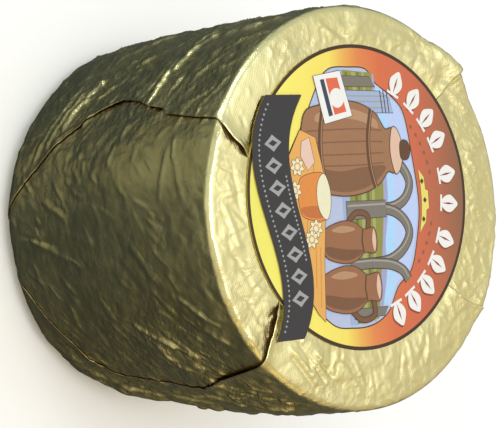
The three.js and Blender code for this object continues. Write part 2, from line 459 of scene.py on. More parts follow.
    right_slant: float = 0.75
    right_part: Point = (-25, 100)  # azimuths between which they slant as they do at the right
    top_slant: float = 0.9
    front_middle: float = 5  # azimuth of the smooth front
    front_half: float = 26  # degrees
    front_calm: float = 0.55  # how much lower the wrinkles are there
    crease_end: float = 0.2  # the share of a crease's height that is left at its ends
    crease_fall: float = 1.3  # how fast it falls away from its line
    pattern_shift: float = 7  # keeps the patterns of the crumples' sizes apart
    noise_seed: int = 11
    wrinkle_seed: int = 23

    def __post_init__(self) -> None:
        """Sets up the noise and scatters short wrinkles between the chosen creases."""
        self.noises = [FacetNoise(self.noise_seed + index) for index in range(len(self.crumples))]
        draw = np.random.default_rng(self.wrinkle_seed)
        scattered = []
        for _ in range(self.side_wrinkles.count):
            start = float(draw.uniform(-180, 180)), float(draw.uniform(*self.side_heights))
            at_right = self.right_part[0] <= start[0] <= self.right_part[1]
            slant = self.right_slant if at_right else self.left_slant
            front = math.exp(-((start[0] - self.front_middle) / self.front_half) ** 4)
            scattered.append(self.side_wrinkles.one(draw, start, slant, 1 - self.front_calm * front))
        for _ in range(self.top_wrinkles.count):
            turn, radius = float(draw.uniform(0, 2 * math.pi)), float(draw.uniform(*self.top_radii))
            start = (radius * math.sin(turn), -radius * math.cos(turn))
            scattered.append(self.top_wrinkles.one(draw, start, turn + self.top_slant))
        self.creases = self.creases + tuple(scattered)

    def lift(self, run: Array, azimuth: Array) -> Array:
        """How far the foil stands off the outline.

        Args:
            run: Runs in metres.
            azimuth: Azimuths in degrees.

        Returns:
            The distances in metres.
        """
        where = self.outline.place(run, azimuth, np.zeros_like(run)) / MM
        below_rim = (run - self.outline.rim_run) / MM
        total = np.zeros(len(run))
        for crumple, facets in zip(self.crumples, self.noises):
            spots = where * np.array(crumple.stretch) / crumple.cell + self.pattern_shift * crumple.cell
            total += crumple.slope * crumple.cell * facets.relief(spots)
        total = total * self.strength(run, azimuth) - self.settle * (below_rim > 0)
        total += self.pressed_creases(where, run, azimuth)
        for puff in self.puffs:
            around = turn_within_half(azimuth - puff.azimuth) * np.radians(1) * self.outline.rim / MM
            along = (run / MM - puff.run) / puff.along
            total += puff.lift * np.exp(-((around / puff.across) ** 2) - along**2)
        inwards = np.clip((run / MM - self.dome_start) / self.dome_width, 0, 1) * (below_rim < 0)
        below = (below_rim >= 0) * np.exp(-((below_rim / self.dome_fade) ** 2))
        total -= self.dome_drop * (inwards**2 + below)
        return np.maximum(total, -self.deepest) * MM

    def strength(self, run: Array, azimuth: Array) -> Array:
        """How strongly the foil is crumpled: least in its calm zones, most in its busy ones.

        Args:
            run: Runs in metres.
            azimuth: Azimuths in degrees.

        Returns:
            Shares of the full crumple, above 1 in a busy zone.
        """
        end, softness = self.top_end
        on_top = 1 / (1 + np.exp((run / MM - end) / softness))
        calm = np.maximum.reduce([zone.weight(run, azimuth, on_top) for zone in self.calm_zones])
        busy = sum(zone.weight(run, azimuth, on_top) for zone in self.busy_zones)
        return (1 - self.top_calm * on_top) * (1 - calm) + busy

    def pressed_creases(self, where: Array, run: Array, azimuth: Array) -> Array:
        """The lift of every crease, in millimetres.

        Args:
            where: Rows of x, y and z, in millimetres.
            run: Runs in metres.
            azimuth: Azimuths in degrees.

        Returns:
            The lifts.
        """
        total = np.zeros(len(where))
        girth = self.outline.rim / MM
        on_top = run < self.outline.rim_run
        for crease in self.creases:
            if crease.face is Face.SIDE:
                middle = (crease.start[0] + crease.end[0]) / 2
                scale = np.array([math.radians(girth), 1])
                tail = (np.array(crease.start) - (middle, 0)) * scale
                head = (np.array(crease.end) - (middle, 0)) * scale
                spot = np.stack([turn_within_half(azimuth - middle) * scale[0], where[:, 2]], axis=-1)
                near = ~on_top
            else:
                tail, head = np.array(crease.start), np.array(crease.end)
                spot = where[:, :2]
                near = on_top
            reach = np.abs(head - tail) / 2 + crease.width
            near = np.flatnonzero(near & (np.abs(spot - (head + tail) / 2) < reach).all(axis=1))
            line = head - tail
            share = np.clip((spot[near] - tail) @ line / (line @ line), 0, 1)
            away = np.linalg.norm(spot[near] - tail - share[:, None] * line, axis=1)
            taper = np.sqrt(np.clip(1 - (2 * share - 1) ** 4, 0, 1)) * (1 - self.crease_end) + self.crease_end
            total[near] += crease.lift * taper * np.clip(1 - away / crease.width, 0, 1) ** self.crease_fall
        return total


# ---- The label's outline -------------------------------------------------------------------------


@dataclass
class LabelShape:
    """The die-cut outline of the label: a disc, and a ribbon that stands out past it on both sides."""

    radius: float = 39.1 * MM
    centre: Vector = field(default_factory=lambda: Vector((-2.7 * MM, -1.1 * MM, 0)))
    ribbon_line: tuple[Point, ...] = (  # millimetres from the disc's centre: its start, two pulls and its end
        (-25.8, -25.4), (-5.9, -40.9), (13.9, -15.6), (33.6, -27.8),
    )
    ribbon_width: float = 11.6  # millimetres, at its left end
    ribbon_end_width: float = 8.8
    directions: int = 720

    def __post_init__(self) -> None:
        """Measures how far the label reaches in each direction from the disc's centre."""
        along, across = np.meshgrid(np.linspace(0, 1, 300), np.linspace(-1, 1, 60))
        x, y = self.ribbon_place(along.ravel(), across.ravel()).T * MM
        self.reaches = np.full(self.directions, self.radius)
        np.maximum.at(self.reaches, self.direction(x, y), np.hypot(x, y))
        self.angles = np.arange(self.directions) / self.directions * 2 * math.pi

    def direction(self, x: Array, y: Array) -> Array:
        """The number of the direction in which each place lies from the disc's centre."""
        return np.round(np.arctan2(y, x) / (2 * math.pi) * self.directions).astype(int) % self.directions

    def ribbon_place(self, along: Array, across: Array) -> Array:
        """Places on the ribbon, in millimetres from the disc's centre.

        Args:
            along: Share of the way from its left end to its right one.
            across: -1 on its lower edge, 1 on its upper one.

        Returns:
            Rows of x and y.
        """
        start, pull_down, pull_up, end = np.array(self.ribbon_line)
        left = (1 - along)[:, None]
        share = along[:, None]
        middle = start * left**3 + 3 * pull_down * left**2 * share
        middle = middle + 3 * pull_up * left * share**2 + end * share**3
        half = (self.ribbon_width + (self.ribbon_end_width - self.ribbon_width) * along**2) / 2
        middle[:, 1] += across * half
        return middle

    def distance_outside(self, places: Array) -> Array:
        """How far places lie outside the label's outline, in metres; below 0 inside it."""
        x, y = places[:, 0] - self.centre.x, places[:, 1] - self.centre.y
        return np.hypot(x, y) - self.reaches[self.direction(x, y)]


# ---- Foil panels ---------------------------------------------------------------------------------


@dataclass(frozen=True)
class Seam:
    """The edge of a side fold, from under the label over the rim and down to the base.

    Each knot is a run along the outline in millimetres and an azimuth in degrees.
    Each gap is a run and how far the fold's edge stands open there, in millimetres.
    """

    knots: tuple[Point, ...]
    gaps: tuple[Point, ...]

    def azimuth(self, run: Array) -> Array:
        """The seam's azimuth in degrees at runs in metres."""
        runs, azimuths = zip(*self.knots)
        return np.interp(run / MM, runs, azimuths)

    def gap(self, run: Array) -> Array:
        """How far the fold's edge stands open, in metres, at runs in metres."""
        runs, gaps = zip(*self.gaps)
        return np.interp(run / MM, runs, gaps) * MM


FRONT_LEFT = Seam(
    knots=(
        (0, -12), (36, -17), (41, -19.6), (44.5, -21.6), (48, -23.2), (53, -27), (60, -27.6), (68, -28.9),
        (73, -29.8), (75.2, -31.9), (81, -32.8), (86.5, -35.2), (95, -37.3), (99, -36.6), (104, -34.8),
        (116, -26.9), (129, -16.1), (135, -10.5), (142, -3), (150, 4), (200, 6),
    ),
    gaps=(
        (0, 0.3), (36, 0.6), (41, 1.1), (46, 1.4), (52, 0.6), (58, 0.55), (74, 0.75), (88, 0.75),
        (97, 0.45), (104, 0.25), (140, 0.15), (200, 0),
    ),
)
FRONT_RIGHT = Seam(
    knots=(
        (0, 30), (36, 33), (41, 35.5), (46, 39.6), (51.5, 43.3), (55, 45), (63, 47.5), (73, 50.8),
        (82, 54.6), (86, 57.2), (92, 57.2), (104, 55), (117, 53), (123, 47.5), (127, 38), (130, 30),
        (136, 19), (144, 10), (150, 8), (200, 6),
    ),
    gaps=(
        (0, 0.3), (38, 1.0), (44, 1.3), (49, 0.9), (54, 0.9), (60, 1.2), (72, 1.3), (80, 0.8), (86, 0.3),
        (94, 0.1), (200, 0),
    ),
)
BACK_LEFT = Seam(
    knots=(
        (0, -138), (44, -137), (53, -138), (70, -140), (90, -143), (112, -148), (132, -160), (146, -172),
        (200, -176),
    ),
    gaps=((0, 0.3), (45, 0.9), (54, 0.7), (64, 0.2), (100, 0.35), (120, 0.15), (200, 0.0)),
)
BACK_RIGHT = Seam(
    knots=(
        (0, 142), (44, 143), (53, 146), (70, 144), (90, 142), (112, 150), (132, 162), (146, 174),
        (200, 180),
    ),
    gaps=((0, 0.3), (45, 0.5), (54, 0.3), (66, 0.3), (100, 0.4), (120, 0.15), (200, 0.0)),
)


class Layer(Enum):
    """Whether a panel lies against the cheese or is folded over its neighbours."""

    UNDER = 0.16  # how far it stays off the floor, in millimetres
    OVER = 0.02


@dataclass
class FoilPanel:
    """One panel of the folded sheet, from the top's centre to the mouth under the base."""

    name: str
    left: Seam
    right: Seam
    layer: Layer
    outline: WheelOutline
    relief: FoilRelief
    label: LabelShape
    left_turn: float = 0.0  # whole turns added to the left seam's azimuth, in degrees
    tuck: float = 7 * MM  # how far an under panel reaches in below the folds
    lap: float = 0.22 * MM  # how far a fold lies above the panel under it
    thickness: float = 0.12 * MM
    curl: float = 2.2 * MM  # how far from its edge a fold starts to stand open
    curl_power: float = 1.5
    sink: float = 0.15 * MM  # how far an under panel dips below the folds
    sink_width: float = 2 * MM
    edge_shade: float = 0.4  # how much painted shade an under panel gets right at the fold's edge
    shade_width: float = 0.6 * MM  # over which that painted shade fades
    top_shade: float = 0.3  # how dark that painted shade is on the top, as a share of the side
    rim_width: float = 4 * MM
    pressed_crumple: float = 0.2  # the share of the crumples that the label leaves under it
    pressed_fold: float = 0.16
    pressed_top: float = 0.13 * MM  # the highest that the foil comes under the label
    free_top: float = 5 * MM
    press_width: float = 3 * MM  # over which the label's weight fades outside it
    press_depth: float = 4 * MM  # below the top, past which the label has no weight
    tightest: float = 3 * MM  # the least radius at which a width is turned into an angle
    weld: float = 0.02 * MM
    columns: int = 186
    rows: int = 232
    row_shares: tuple[Point, ...] = (  # share of the rows, share of the run: most rows go where they show
        (0, 0), (0.06, 0.185), (0.88, 0.765), (1, 1),
    )

    def build(self, foil: bpy.types.Material, lining: bpy.types.Material) -> bpy.types.Object:
        """Makes the panel as a grid, lays it on the wheel and gives it its thickness.

        Args:
            foil: The material of the sheet's outside.
            lining: The material of its inside and its cut edge, dark as painted shade for the seams' gaps.

        Returns:
            The finished panel.
        """
        draft = bmesh.new()
        bmesh.ops.create_grid(draft, x_segments=self.columns, y_segments=self.rows, size=0.5)
        draft.verts.index_update()
        flat = np.array([vertex.co for vertex in draft.verts])
        rows, lengths = zip(*self.row_shares)
        run = np.interp(0.5 - flat[:, 1], rows, lengths) * self.outline.length
        places, azimuth, seam_shade_share = self.lay(flat[:, 0] + 0.5, run)
        unrolled = np.stack([np.radians(azimuth) * self.outline.rim, run], axis=-1) / SHEET_UNIT
        sheet = draft.loops.layers.uv.new("sheet")
        crumpled = draft.verts.layers.float.new("crumpled")
        # This layer holds painted shade: how much the colour is darkened beside and under a fold's edge.
        painted_seam_shade = draft.verts.layers.float.new("painted_seam_shade")
        crumples = self.relief.strength(run, azimuth)
        for vertex, place, strength, shade_share in zip(draft.verts, places, crumples, seam_shade_share):
            vertex.co = place
            vertex[crumpled] = strength
            vertex[painted_seam_shade] = shade_share
        for face in draft.faces:
            for loop in face.loops:
                loop[sheet].uv = unrolled[loop.vert.index]
        bmesh.ops.remove_doubles(draft, verts=draft.verts, dist=self.weld)
        panel = finished_piece(draft, self.name, [foil, lining])
        wall = thicken(panel, "wall", self.thickness)
        # The inside and the cut edge take the lining's dark painted shade.
        wall.material_offset = 1
        wall.material_offset_rim = 1
        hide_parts("foil_wrap")
        return panel

    def lay(self, across: Array, run: Array) -> tuple[Array, Array, Array]:
        """Lays the flat grid on the wheel.

        Args:
            across: Share of the way from the left seam to the right one.
            run: Distance along the outline, in metres.

        Returns:
            Rows of x, y and z in metres, azimuths in degrees, and how much painted shade each place gets
            beside and under a fold's edge, 0 to 1.
        """
        radius = np.maximum(np.interp(run, self.outline.runs, self.outline.radii), self.tightest)
        reach = np.degrees(self.tuck / radius) if self.layer is Layer.UNDER else 0.0
        left = self.left.azimuth(run) + self.left_turn - reach
        right = self.right.azimuth(run) + reach
        azimuth = left + (right - left) * across
        from_left = np.radians(azimuth - self.left.azimuth(run) - self.left_turn) * radius
        from_right = np.radians(self.right.azimuth(run) - azimuth) * radius
        lift = self.relief.lift(run, azimuth)
        fold = np.zeros_like(lift)
        seam_shade_share = np.zeros_like(lift)
        if self.layer is Layer.OVER:
            fold += self.lap
            for seam, away in ((self.left, from_left), (self.right, from_right)):
                fold += seam.gap(run) * np.exp(-((np.abs(away) / self.curl) ** self.curl_power))
        else:
            nearest = np.minimum(from_left, from_right)
            fold -= self.sink * np.clip(-nearest / self.sink_width, 0, 1)
            # Painted shade for the seams: how much the colour darkens beside and under a fold's edge, less on
            # the top.
            on_side = np.clip((run - self.outline.rim_run) / self.rim_width + 0.5, 0, 1)
            shade = self.top_shade + (1 - self.top_shade) * on_side
            seam_shade_share = np.clip(self.edge_shade - nearest / self.shade_width, 0, 1) * shade
        free = self.free_of_label(self.outline.place(run, azimuth, np.zeros_like(run)))
        lift = lift * (self.pressed_crumple + (1 - self.pressed_crumple) * free)
        lift += fold * (self.pressed_fold + (1 - self.pressed_fold) * free)
        places = self.outline.place(run, azimuth, lift)
        ceiling = self.outline.top + self.pressed_top + free * self.free_top
        places[:, 2] = np.clip(places[:, 2], self.layer.value * MM, ceiling)
        return places, azimuth, seam_shade_share

    def free_of_label(self, places: Array) -> Array:
        """How free the foil is of the label's weight: 0 under it, 1 from a few millimetres outside it."""
        outside = np.clip(self.label.distance_outside(places) / self.press_width, 0, 1)
        on_top = places[:, 2] > self.outline.top - self.press_depth
        return np.where(on_top, outside * outside * (3 - 2 * outside), 1.0)


# ---- Finishes ------------------------------------------------------------------------------------


def opaque(colour: Feed) -> Feed:
    """A plain colour with its fourth number, or a node's output as it is."""
    return colour if isinstance(colour, Socket) else (*colour, 1)


@dataclass
class Wiring:
    """The nodes of one material or sky, and the kinds of node that they are made from."""

    tree: bpy.types.NodeTree

    def feed(self, node: bpy.types.Node, feeds: dict[str | int, Feed]) -> None:
        """Feeds a node's inputs.

        Args:
            node: The node.
            feeds: What goes into each named or numbered input: another node's output, or a value.
        """
        for name, value in feeds.items():
            if isinstance(value, Socket):
                self.tree.links.new(value, node.inputs[name])
            else:
                node.inputs[name].default_value = value

    def add(self, kind: str, feeds: dict[str | int, Feed], output: str, **settings: str | bool) -> Socket:
        """Adds a node.

        Args:
            kind: The node's type, as it follows "ShaderNode".
            feeds: What goes into its inputs.
            output: The name of the output that is wanted.
            settings: The node's own settings, such as its operation.

        Returns:
            That output.
        """
        node = self.tree.nodes.new(f"ShaderNode{kind}")
        for name, value in settings.items():
            setattr(node, name, value)
        self.feed(node, feeds)
        return node.outputs[output]

    def place(self) -> Socket:
        """The piece's own coordinates."""
        return self.add("TexCoord", {}, "Object")

    def attribute(self, name: str) -> Socket:
        """A number that is kept on the piece's vertices."""
        return self.add("Attribute", {}, "Fac", attribute_name=name)

    def parts(self, vector: Socket) -> list[Socket]:
        """The x, y and z of a vector."""
        return list(self.add("SeparateXYZ", {"Vector": vector}, "X").node.outputs)

    def calculate(self, operation: str, *values: Feed, clamp: bool = False) -> Socket:
        """Works one number out from others."""
        return self.add("Math", dict(enumerate(values)), "Value", operation=operation, use_clamp=clamp)

    def mix(self, share: Feed, first: Feed, second: Feed, blend: str = "MIX") -> Socket:
        """Blends a second colour into a first one."""
        feeds = {"Factor": share, "A": opaque(first), "B": opaque(second)}
        return self.add("Mix", feeds, "Result", data_type="RGBA", blend_type=blend)

    def spread(self, value: Socket, start: Point, end: Point = (0, 1), curve: str = "LINEAR") -> Socket:
        """Stretches the range from start[0] to start[1] to the one from end[0] to end[1]."""
        feeds = dict(zip(("From Min", "From Max", "To Min", "To Max"), (*start, *end)))
        return self.add("MapRange", {"Value": value, **feeds}, "Result", interpolation_type=curve)

    def ramp(self, value: Socket, stops: Stops) -> Socket:
        """Turns a number from 0 to 1 into a colour.

        Args:
            value: The number.
            stops: The places of the chosen colours, in order, and the colours.

        Returns:
            The colour, blended between the stops.
        """
        colour = self.add("ValToRGB", {"Fac": value}, "Color")
        elements = colour.node.color_ramp.elements
        for index, (position, shade) in enumerate(stops):
            stop = elements[index] if index < len(elements) else elements.new(position)
            stop.position = position
            stop.color = (*shade, 1)
        return colour

    def noise(self, place: Socket, scale: float, detail: float, output: str = "Fac") -> Socket:
        """A cloudy pattern."""
        return self.add("TexNoise", {"Vector": place, "Scale": scale, "Detail": detail}, output)

    def warped(self, place: Socket, scale: float, amount: float) -> Socket:
        """Bends a coordinate by a noise, so that a pattern on it loses its straight lines."""
        feeds = {0: self.noise(place, scale, 2, "Color"), 1: (amount,) * 3, 2: place}
        return self.add("VectorMath", feeds, "Vector", operation="MULTIPLY_ADD")

    def bump(self, height: Socket, distance: float, **more: Socket) -> Socket:
        """The normal of a bump of a height in metres; more may hold the Normal under it and its Strength."""
        return self.add("Bump", {"Height": height, "Distance": distance, **more}, "Normal")


def new_material(name: str) -> tuple[bpy.types.Material, Wiring, bpy.types.ShaderNode]:
    """Makes a plain material around one Principled shader.

    Args:
        name: The material's name.

    Returns:
        The material, its wiring and its shader.
    """
    material = bpy.data.materials.new(name)
    material.use_nodes = True
    return material, Wiring(material.node_tree), material.node_tree.nodes["Principled BSDF"]


@dataclass(frozen=True)
class FoilFinish:
    """Gold-lacquered foil: metal with fine wrinkles and an embossed cross grain."""

    lacquer: Colour = (0.80, 0.70, 0.30)
    worn: Colour = (0.82, 0.74, 0.40)
    painted_seam_shade: Colour = (0.16, 0.09, 0.02)  # painted shade beside and under a fold's edge, where the fold covers the sheet
    smooth: Colour = (0.97, 0.89, 0.44)  # painted sheen: a paler, brighter colour where the sheet lies flat and smooth
    lively: float = 0.8  # the crumple from which nothing of the painted sheen is left
    roughness: Point = (0.17, 0.30)
    wrinkle: float = 0.12 * MM
    facets: tuple[Point, ...] = ((400, 0.14 * MM), (900, 0.09 * MM))  # how fine, and how deep
    facet_shift: float = 0.37  # metres between the two scatters that a facet pattern is made from
    crinkle: float = 0.03 * MM
    emboss: float = 0.011 * MM
    emboss_pitch: float = 0.8 * MM

    def material(self) -> bpy.types.Material:
        """Makes the foil's material.

        Returns:
            The material.
        """
        material, wiring, shader = new_material("gold_foil")
        place = wiring.place()
        wiring.feed(shader, {
            "Metallic": 1.0,
            "Base Color": self.colour(wiring, place),
            "Roughness": wiring.spread(wiring.noise(place, scale=240, detail=5), (0.3, 0.7), self.roughness),
            "Normal": self.embossed(wiring, self.wrinkled(wiring, place)),
        })
        return material

    def colour(self, wiring: Wiring, place: Socket) -> Socket:
        """Blotched lacquer, with a painted sheen, paler where the sheet lies flat, and painted shade, dark
        where a fold covers it.

        Args:
            wiring: The material's nodes.
            place: The piece's own coordinates.

        Returns:
            The colour.
        """
        # Painted sheen: the base colour turns paler where the sheet is hardly crumpled, standing in for its
        # brighter reflection.
        sheen_share = wiring.spread(wiring.attribute("crumpled"), (self.lively, 0.0))
        blotched = wiring.mix(wiring.noise(place, scale=60, detail=4), self.lacquer, self.worn)
        with_sheen = wiring.mix(sheen_share, blotched, self.smooth)
        # Painted shade: a darker colour beside and under a fold's edge, so that the seams read as dark gaps.
        return wiring.mix(wiring.attribute("painted_seam_shade"), with_sheen, self.painted_seam_shade)

    def wrinkled(self, wiring: Wiring, place: Socket) -> Socket:
        """Ridges and crinkles all over, and flat facets in patches where the sheet is crumpled.

        Args:
            wiring: The material's nodes.
            place: The piece's own coordinates.

        Returns:
            The normal.
        """
        bent = wiring.warped(place, scale=120, amount=3 * MM)
        feeds = {"Vector": bent, "Scale": 190, "Detail": 4, "Roughness": 0.55}
        ridges = wiring.add("TexNoise", feeds, "Fac", noise_type="RIDGED_MULTIFRACTAL")
        relief = wiring.bump(ridges, self.wrinkle)
        relief = wiring.bump(wiring.noise(bent, scale=1100, detail=3), self.crinkle, Normal=relief)
        patches = wiring.spread(wiring.noise(place, scale=45, detail=2), (0.35, 0.65), (0.25, 1))
        strength = wiring.calculate("MULTIPLY", patches, wiring.attribute("crumpled"), clamp=True)
        slightly_bent = wiring.warped(place, scale=200, amount=1.5 * MM)
        for scale, depth in self.facets:
            facets = self.faceted(wiring, slightly_bent, scale)
            relief = wiring.bump(facets, depth, Normal=relief, Strength=strength)
        return relief

    def faceted(self, wiring: Wiring, place: Socket, scale: float) -> Socket:
        """Flat facets with sharp creases: the squared distance to one scatter less that to another.

        Args:
            wiring: The material's nodes.
            place: The coordinates that they lie on.
            scale: How many lie along a metre.

        Returns:
            The height.
        """
        squares = []
        for shift in (0.0, self.facet_shift):
            moved = wiring.add("VectorMath", {0: place, 1: (shift,) * 3}, "Vector", operation="ADD")
            away = wiring.add("TexVoronoi", {"Vector": moved, "Scale": scale}, "Distance")
            squares.append(wiring.calculate("MULTIPLY", away, away))
        return wiring.calculate("SUBTRACT", *squares)

    def embossed(self, wiring: Wiring, under: Socket) -> Socket:
        """Adds the fine cross grain that the foil is rolled with.

        Args:
            wiring: The material's nodes.
            under: The normal that it lies on.

        Returns:
            The normal with the grain.
        """
        x, y, _ = wiring.parts(wiring.add("UVMap", {}, "UV", uv_map="sheet"))
        waves = []
        for operation in ("ADD", "SUBTRACT"):
            slant = wiring.calculate(operation, x, y)
            turns = wiring.calculate("MULTIPLY", slant, 2 * math.pi * SHEET_UNIT / self.emboss_pitch)
            waves.append(wiring.calculate("SINE", turns))
        return wiring.bump(wiring.calculate("MAXIMUM", *waves), self.emboss, Normal=under)


@dataclass(frozen=True)
class PaintedShadeLining:
    """The sheet's inside, in a dark dull colour that is painted shade: it shows only at the cut edges, where
    it darkens the gaps along the seams.
    """

    # painted shade for the seams' gaps, blotched at random between two browns
    colour: Colour = (0.20, 0.13, 0.045)
    deeper_shade: Colour = (0.12, 0.08, 0.03)
    roughness: float = 0.7
    grain: float = 0.03 * MM

    def material(self) -> bpy.types.Material:
        """Makes the lining's material.

        Returns:
            The material.
        """
        material, wiring, shader = new_material("foil_lining_painted_shade")
        place = wiring.place()
        wiring.feed(shader, {
            "Base Color": wiring.mix(wiring.noise(place, scale=150, detail=4), self.colour, self.deeper_shade),
            "Roughness": self.roughness,
            "Normal": wiring.bump(wiring.noise(place, scale=900, detail=3), self.grain),
        })
        return material


@dataclass(frozen=True)
class RindFinish:
    """Washed rind of a pressed cheese, matt and a little moist."""

    pale: Colour = (0.72, 0.50, 0.22)
    dark: Colour = (0.50, 0.28, 0.10)
    roughness: float = 0.6
    pit: float = 0.1 * MM

    def material(self) -> bpy.types.Material:
        """Makes the rind's material.

        Returns:
            The material.
        """
        material, wiring, shader = new_material("cheese_rind")
        place = wiring.place()
        wiring.feed(shader, {
            "Base Color": wiring.mix(wiring.noise(place, scale=90, detail=6), self.pale, self.dark),
            "Roughness": self.roughness,
            "Subsurface Weight": 0.15,
            "Subsurface Scale": 2 * MM,
            "Normal": wiring.bump(wiring.noise(place, scale=700, detail=4), self.pit),
        })
        return material


# ---- Label ---------------------------------------------------------------------------------------


class Ink(Enum):
    """The printing inks, as they look on the label: red, green and blue from 0 to 255."""

    RING = (70, 50, 34)
    LINE = (86, 62, 44)
    WHITE = (248, 246, 240)
    SHADE = (150, 74, 52)
    FAINT = (150, 98, 70)
    PLAQUE = (242, 226, 111)
    PLAQUE_MARK = (70, 66, 40)
    SKY = (196, 214, 251)
    LOW_SKY = (180, 222, 255)
    WALL = (190, 200, 226)
    PALE_STONE = (168, 186, 218)
    STONE = (131, 124, 112)
    STONE_EDGE = (172, 166, 156)
    HILL = (172, 172, 208)
    FIELD = (152, 150, 74)
    MEADOW = (172, 178, 108)
    HEDGE = (116, 122, 66)
    WOOD = (166, 120, 86)
    WOOD_LIGHT = (190, 148, 112)
    WOOD_DARK = (136, 98, 68)
    HOOP = (104, 72, 48)
    CLAY = (160, 110, 76)
    CLAY_DARK = (128, 88, 60)
    LID = (232, 196, 170)
    TABLE = (238, 178, 94)
    TABLE_GRAIN = (216, 150, 74)
    CHEESE_SIDE = (232, 146, 70)
    CHEESE_SHADE = (204, 118, 62)
    CHEESE_TOP = (242, 238, 200)
    WEDGE = (240, 204, 186)
    CARD_RED = (232, 112, 78)
    CARD_DARK = (66, 72, 92)
    RIBBON = (60, 58, 58)
    RIBBON_MARK = (168, 168, 166)


PAPER_EXPOSURE = 1.15  # light that the label sends back for each unit of ink colour


def ink_light(colour: Colour) -> Colour:
    """Turns a display colour, 0 to 255, into the linear colour that looks like it on the label."""
    shares = [level / 255 for level in colour]
    linear = [share / 12.92 if share <= 0.04045 else ((share + 0.055) / 1.055) ** 2.4 for share in shares]
    return tuple(level / PAPER_EXPOSURE for level in linear)


@dataclass(frozen=True)
class PrintFinish:
    """Semi-gloss printed paper: one ink, with the faint mottle and waviness of the sheet."""

    ink: Ink
    mottle: float = 0.9  # the share of its colour that is left in the darkest blotches

    def material(self) -> bpy.types.Material:
        """Makes the ink's material.

        Returns:
            The material.
        """
        material, wiring, shader = new_material(f"ink_{self.ink.name.lower()}")
        place = wiring.place()
        base = ink_light(self.ink.value)
        darker = tuple(level * self.mottle for level in base)
        colour = wiring.mix(wiring.noise(place, scale=700, detail=3), base, darker)
        dress_paper(wiring, place, shader, colour)
        return material


@dataclass(frozen=True)
class PaperFinish:
    """The label's own sheet: printed in a blend from brown and red at the back to yellow at the front."""

    centre_y: float
    radius: float
    stops: Stops = (  # millimetres behind the label's centre, display colour
        (-39, (240, 232, 108)),
        (-26, (251, 240, 114)),
        (-8, (247, 226, 104)),
        (-3, (238, 178, 86)),
        (2, (228, 138, 78)),
        (10, (219, 114, 72)),
        (22, (207, 108, 76)),
        (31, (176, 106, 74)),
        (39, (140, 100, 72)),
    )

    def material(self) -> bpy.types.Material:
        """Makes the sheet's material.

        Returns:
            The material.
        """
        material, wiring, shader = new_material("label_paper")
        place = wiring.place()
        _, y, _ = wiring.parts(wiring.warped(place, scale=60, amount=1.5 * MM))
        level = wiring.spread(y, (self.centre_y - self.radius, self.centre_y + self.radius))
        stops = [
            ((behind * MM + self.radius) / (2 * self.radius), ink_light(colour))
            for behind, colour in self.stops
        ]
        dress_paper(wiring, place, shader, wiring.ramp(level, stops))
        return material


def dress_paper(wiring: Wiring, place: Socket, shader: bpy.types.ShaderNode, colour: Socket) -> None:
    """Gives a paper shader its colour, its gloss, its soft waves and its fibre grain.

    Args:
        wiring: The material's nodes.
        place: The piece's own coordinates.
        shader: The shader.
        colour: What is printed on it.
    """
    waves = wiring.bump(wiring.noise(place, scale=110, detail=2), 0.5 * MM)
    fibres = wiring.bump(wiring.noise(place, scale=2500, detail=2), 0.01 * MM, Normal=waves)
    wiring.feed(shader, {
        "Base Color": colour,
        "Roughness": 0.42,
        "Specular IOR Level": 0.3,
        "Normal": fibres,
    })


def curve_through(points: list[Point], closed: bool = True, between: int = 7) -> list[Point]:
    """Runs a smooth line through points.

    Args:
        points: The places that it goes through.
        closed: Whether it comes back to its start.
        between: Steps from one point to the next.

    Returns:
        The line's points.
    """
    spots = np.array(points, dtype=float)
    first, last = (spots[-1:], spots[:2]) if closed else (spots[:1], spots[-1:])
    padded = np.vstack([first, spots, last])
    count = len(spots) if closed else len(spots) - 1
    line = []
    for index in range(count):
        before, start, end, after = padded[index:index + 4]
        for share in np.arange(between) / between:
            line.append(tuple(0.5 * (
                2 * start + (end - before) * share
                + (2 * before - 5 * start + 4 * end - after) * share**2
                + (3 * start - before - 3 * end + after) * share**3
            )))
    if not closed:
        line.append(tuple(spots[-1]))
    return line


def polar(radius: float, degrees: float) -> Point:
    """The place at a distance and a direction from the label's centre."""
    return (radius * math.cos(math.radians(degrees)), radius * math.sin(math.radians(degrees)))


def ring(radius: float, count: int, lobes: int = 0, lobe: float = 0.0) -> list[Point]:
    """Points round a circle, or round a rosette whose edge goes in and out in lobes."""
    turns = np.linspace(0, 2 * math.pi, count, endpoint=False)
    return [polar(radius + lobe * math.cos(lobes * turn), math.degrees(turn)) for turn in turns]


def lozenge(half_width: float, half_height: float) -> list[Point]:
    """A lozenge round its own middle."""
    return [(0, -half_height), (half_width, 0), (0, half_height), (-half_width, 0)]


def turned(points: list[Point], centre: Point, degrees: float, size: float = 1.0) -> list[Point]:
    """Scales and turns an outline and moves it to a place.

    Args:
        points: The outline, round its own origin.
        centre: Where that origin goes.
        degrees: How far it is turned, anticlockwise.
        size: How many times larger it becomes.

    Returns:
        The moved outline.
    """
    turn = math.radians(degrees)
    cos, sin = math.cos(turn) * size, math.sin(turn) * size
    return [(centre[0] + x * cos - y * sin, centre[1] + x * sin + y * cos) for x, y in points]


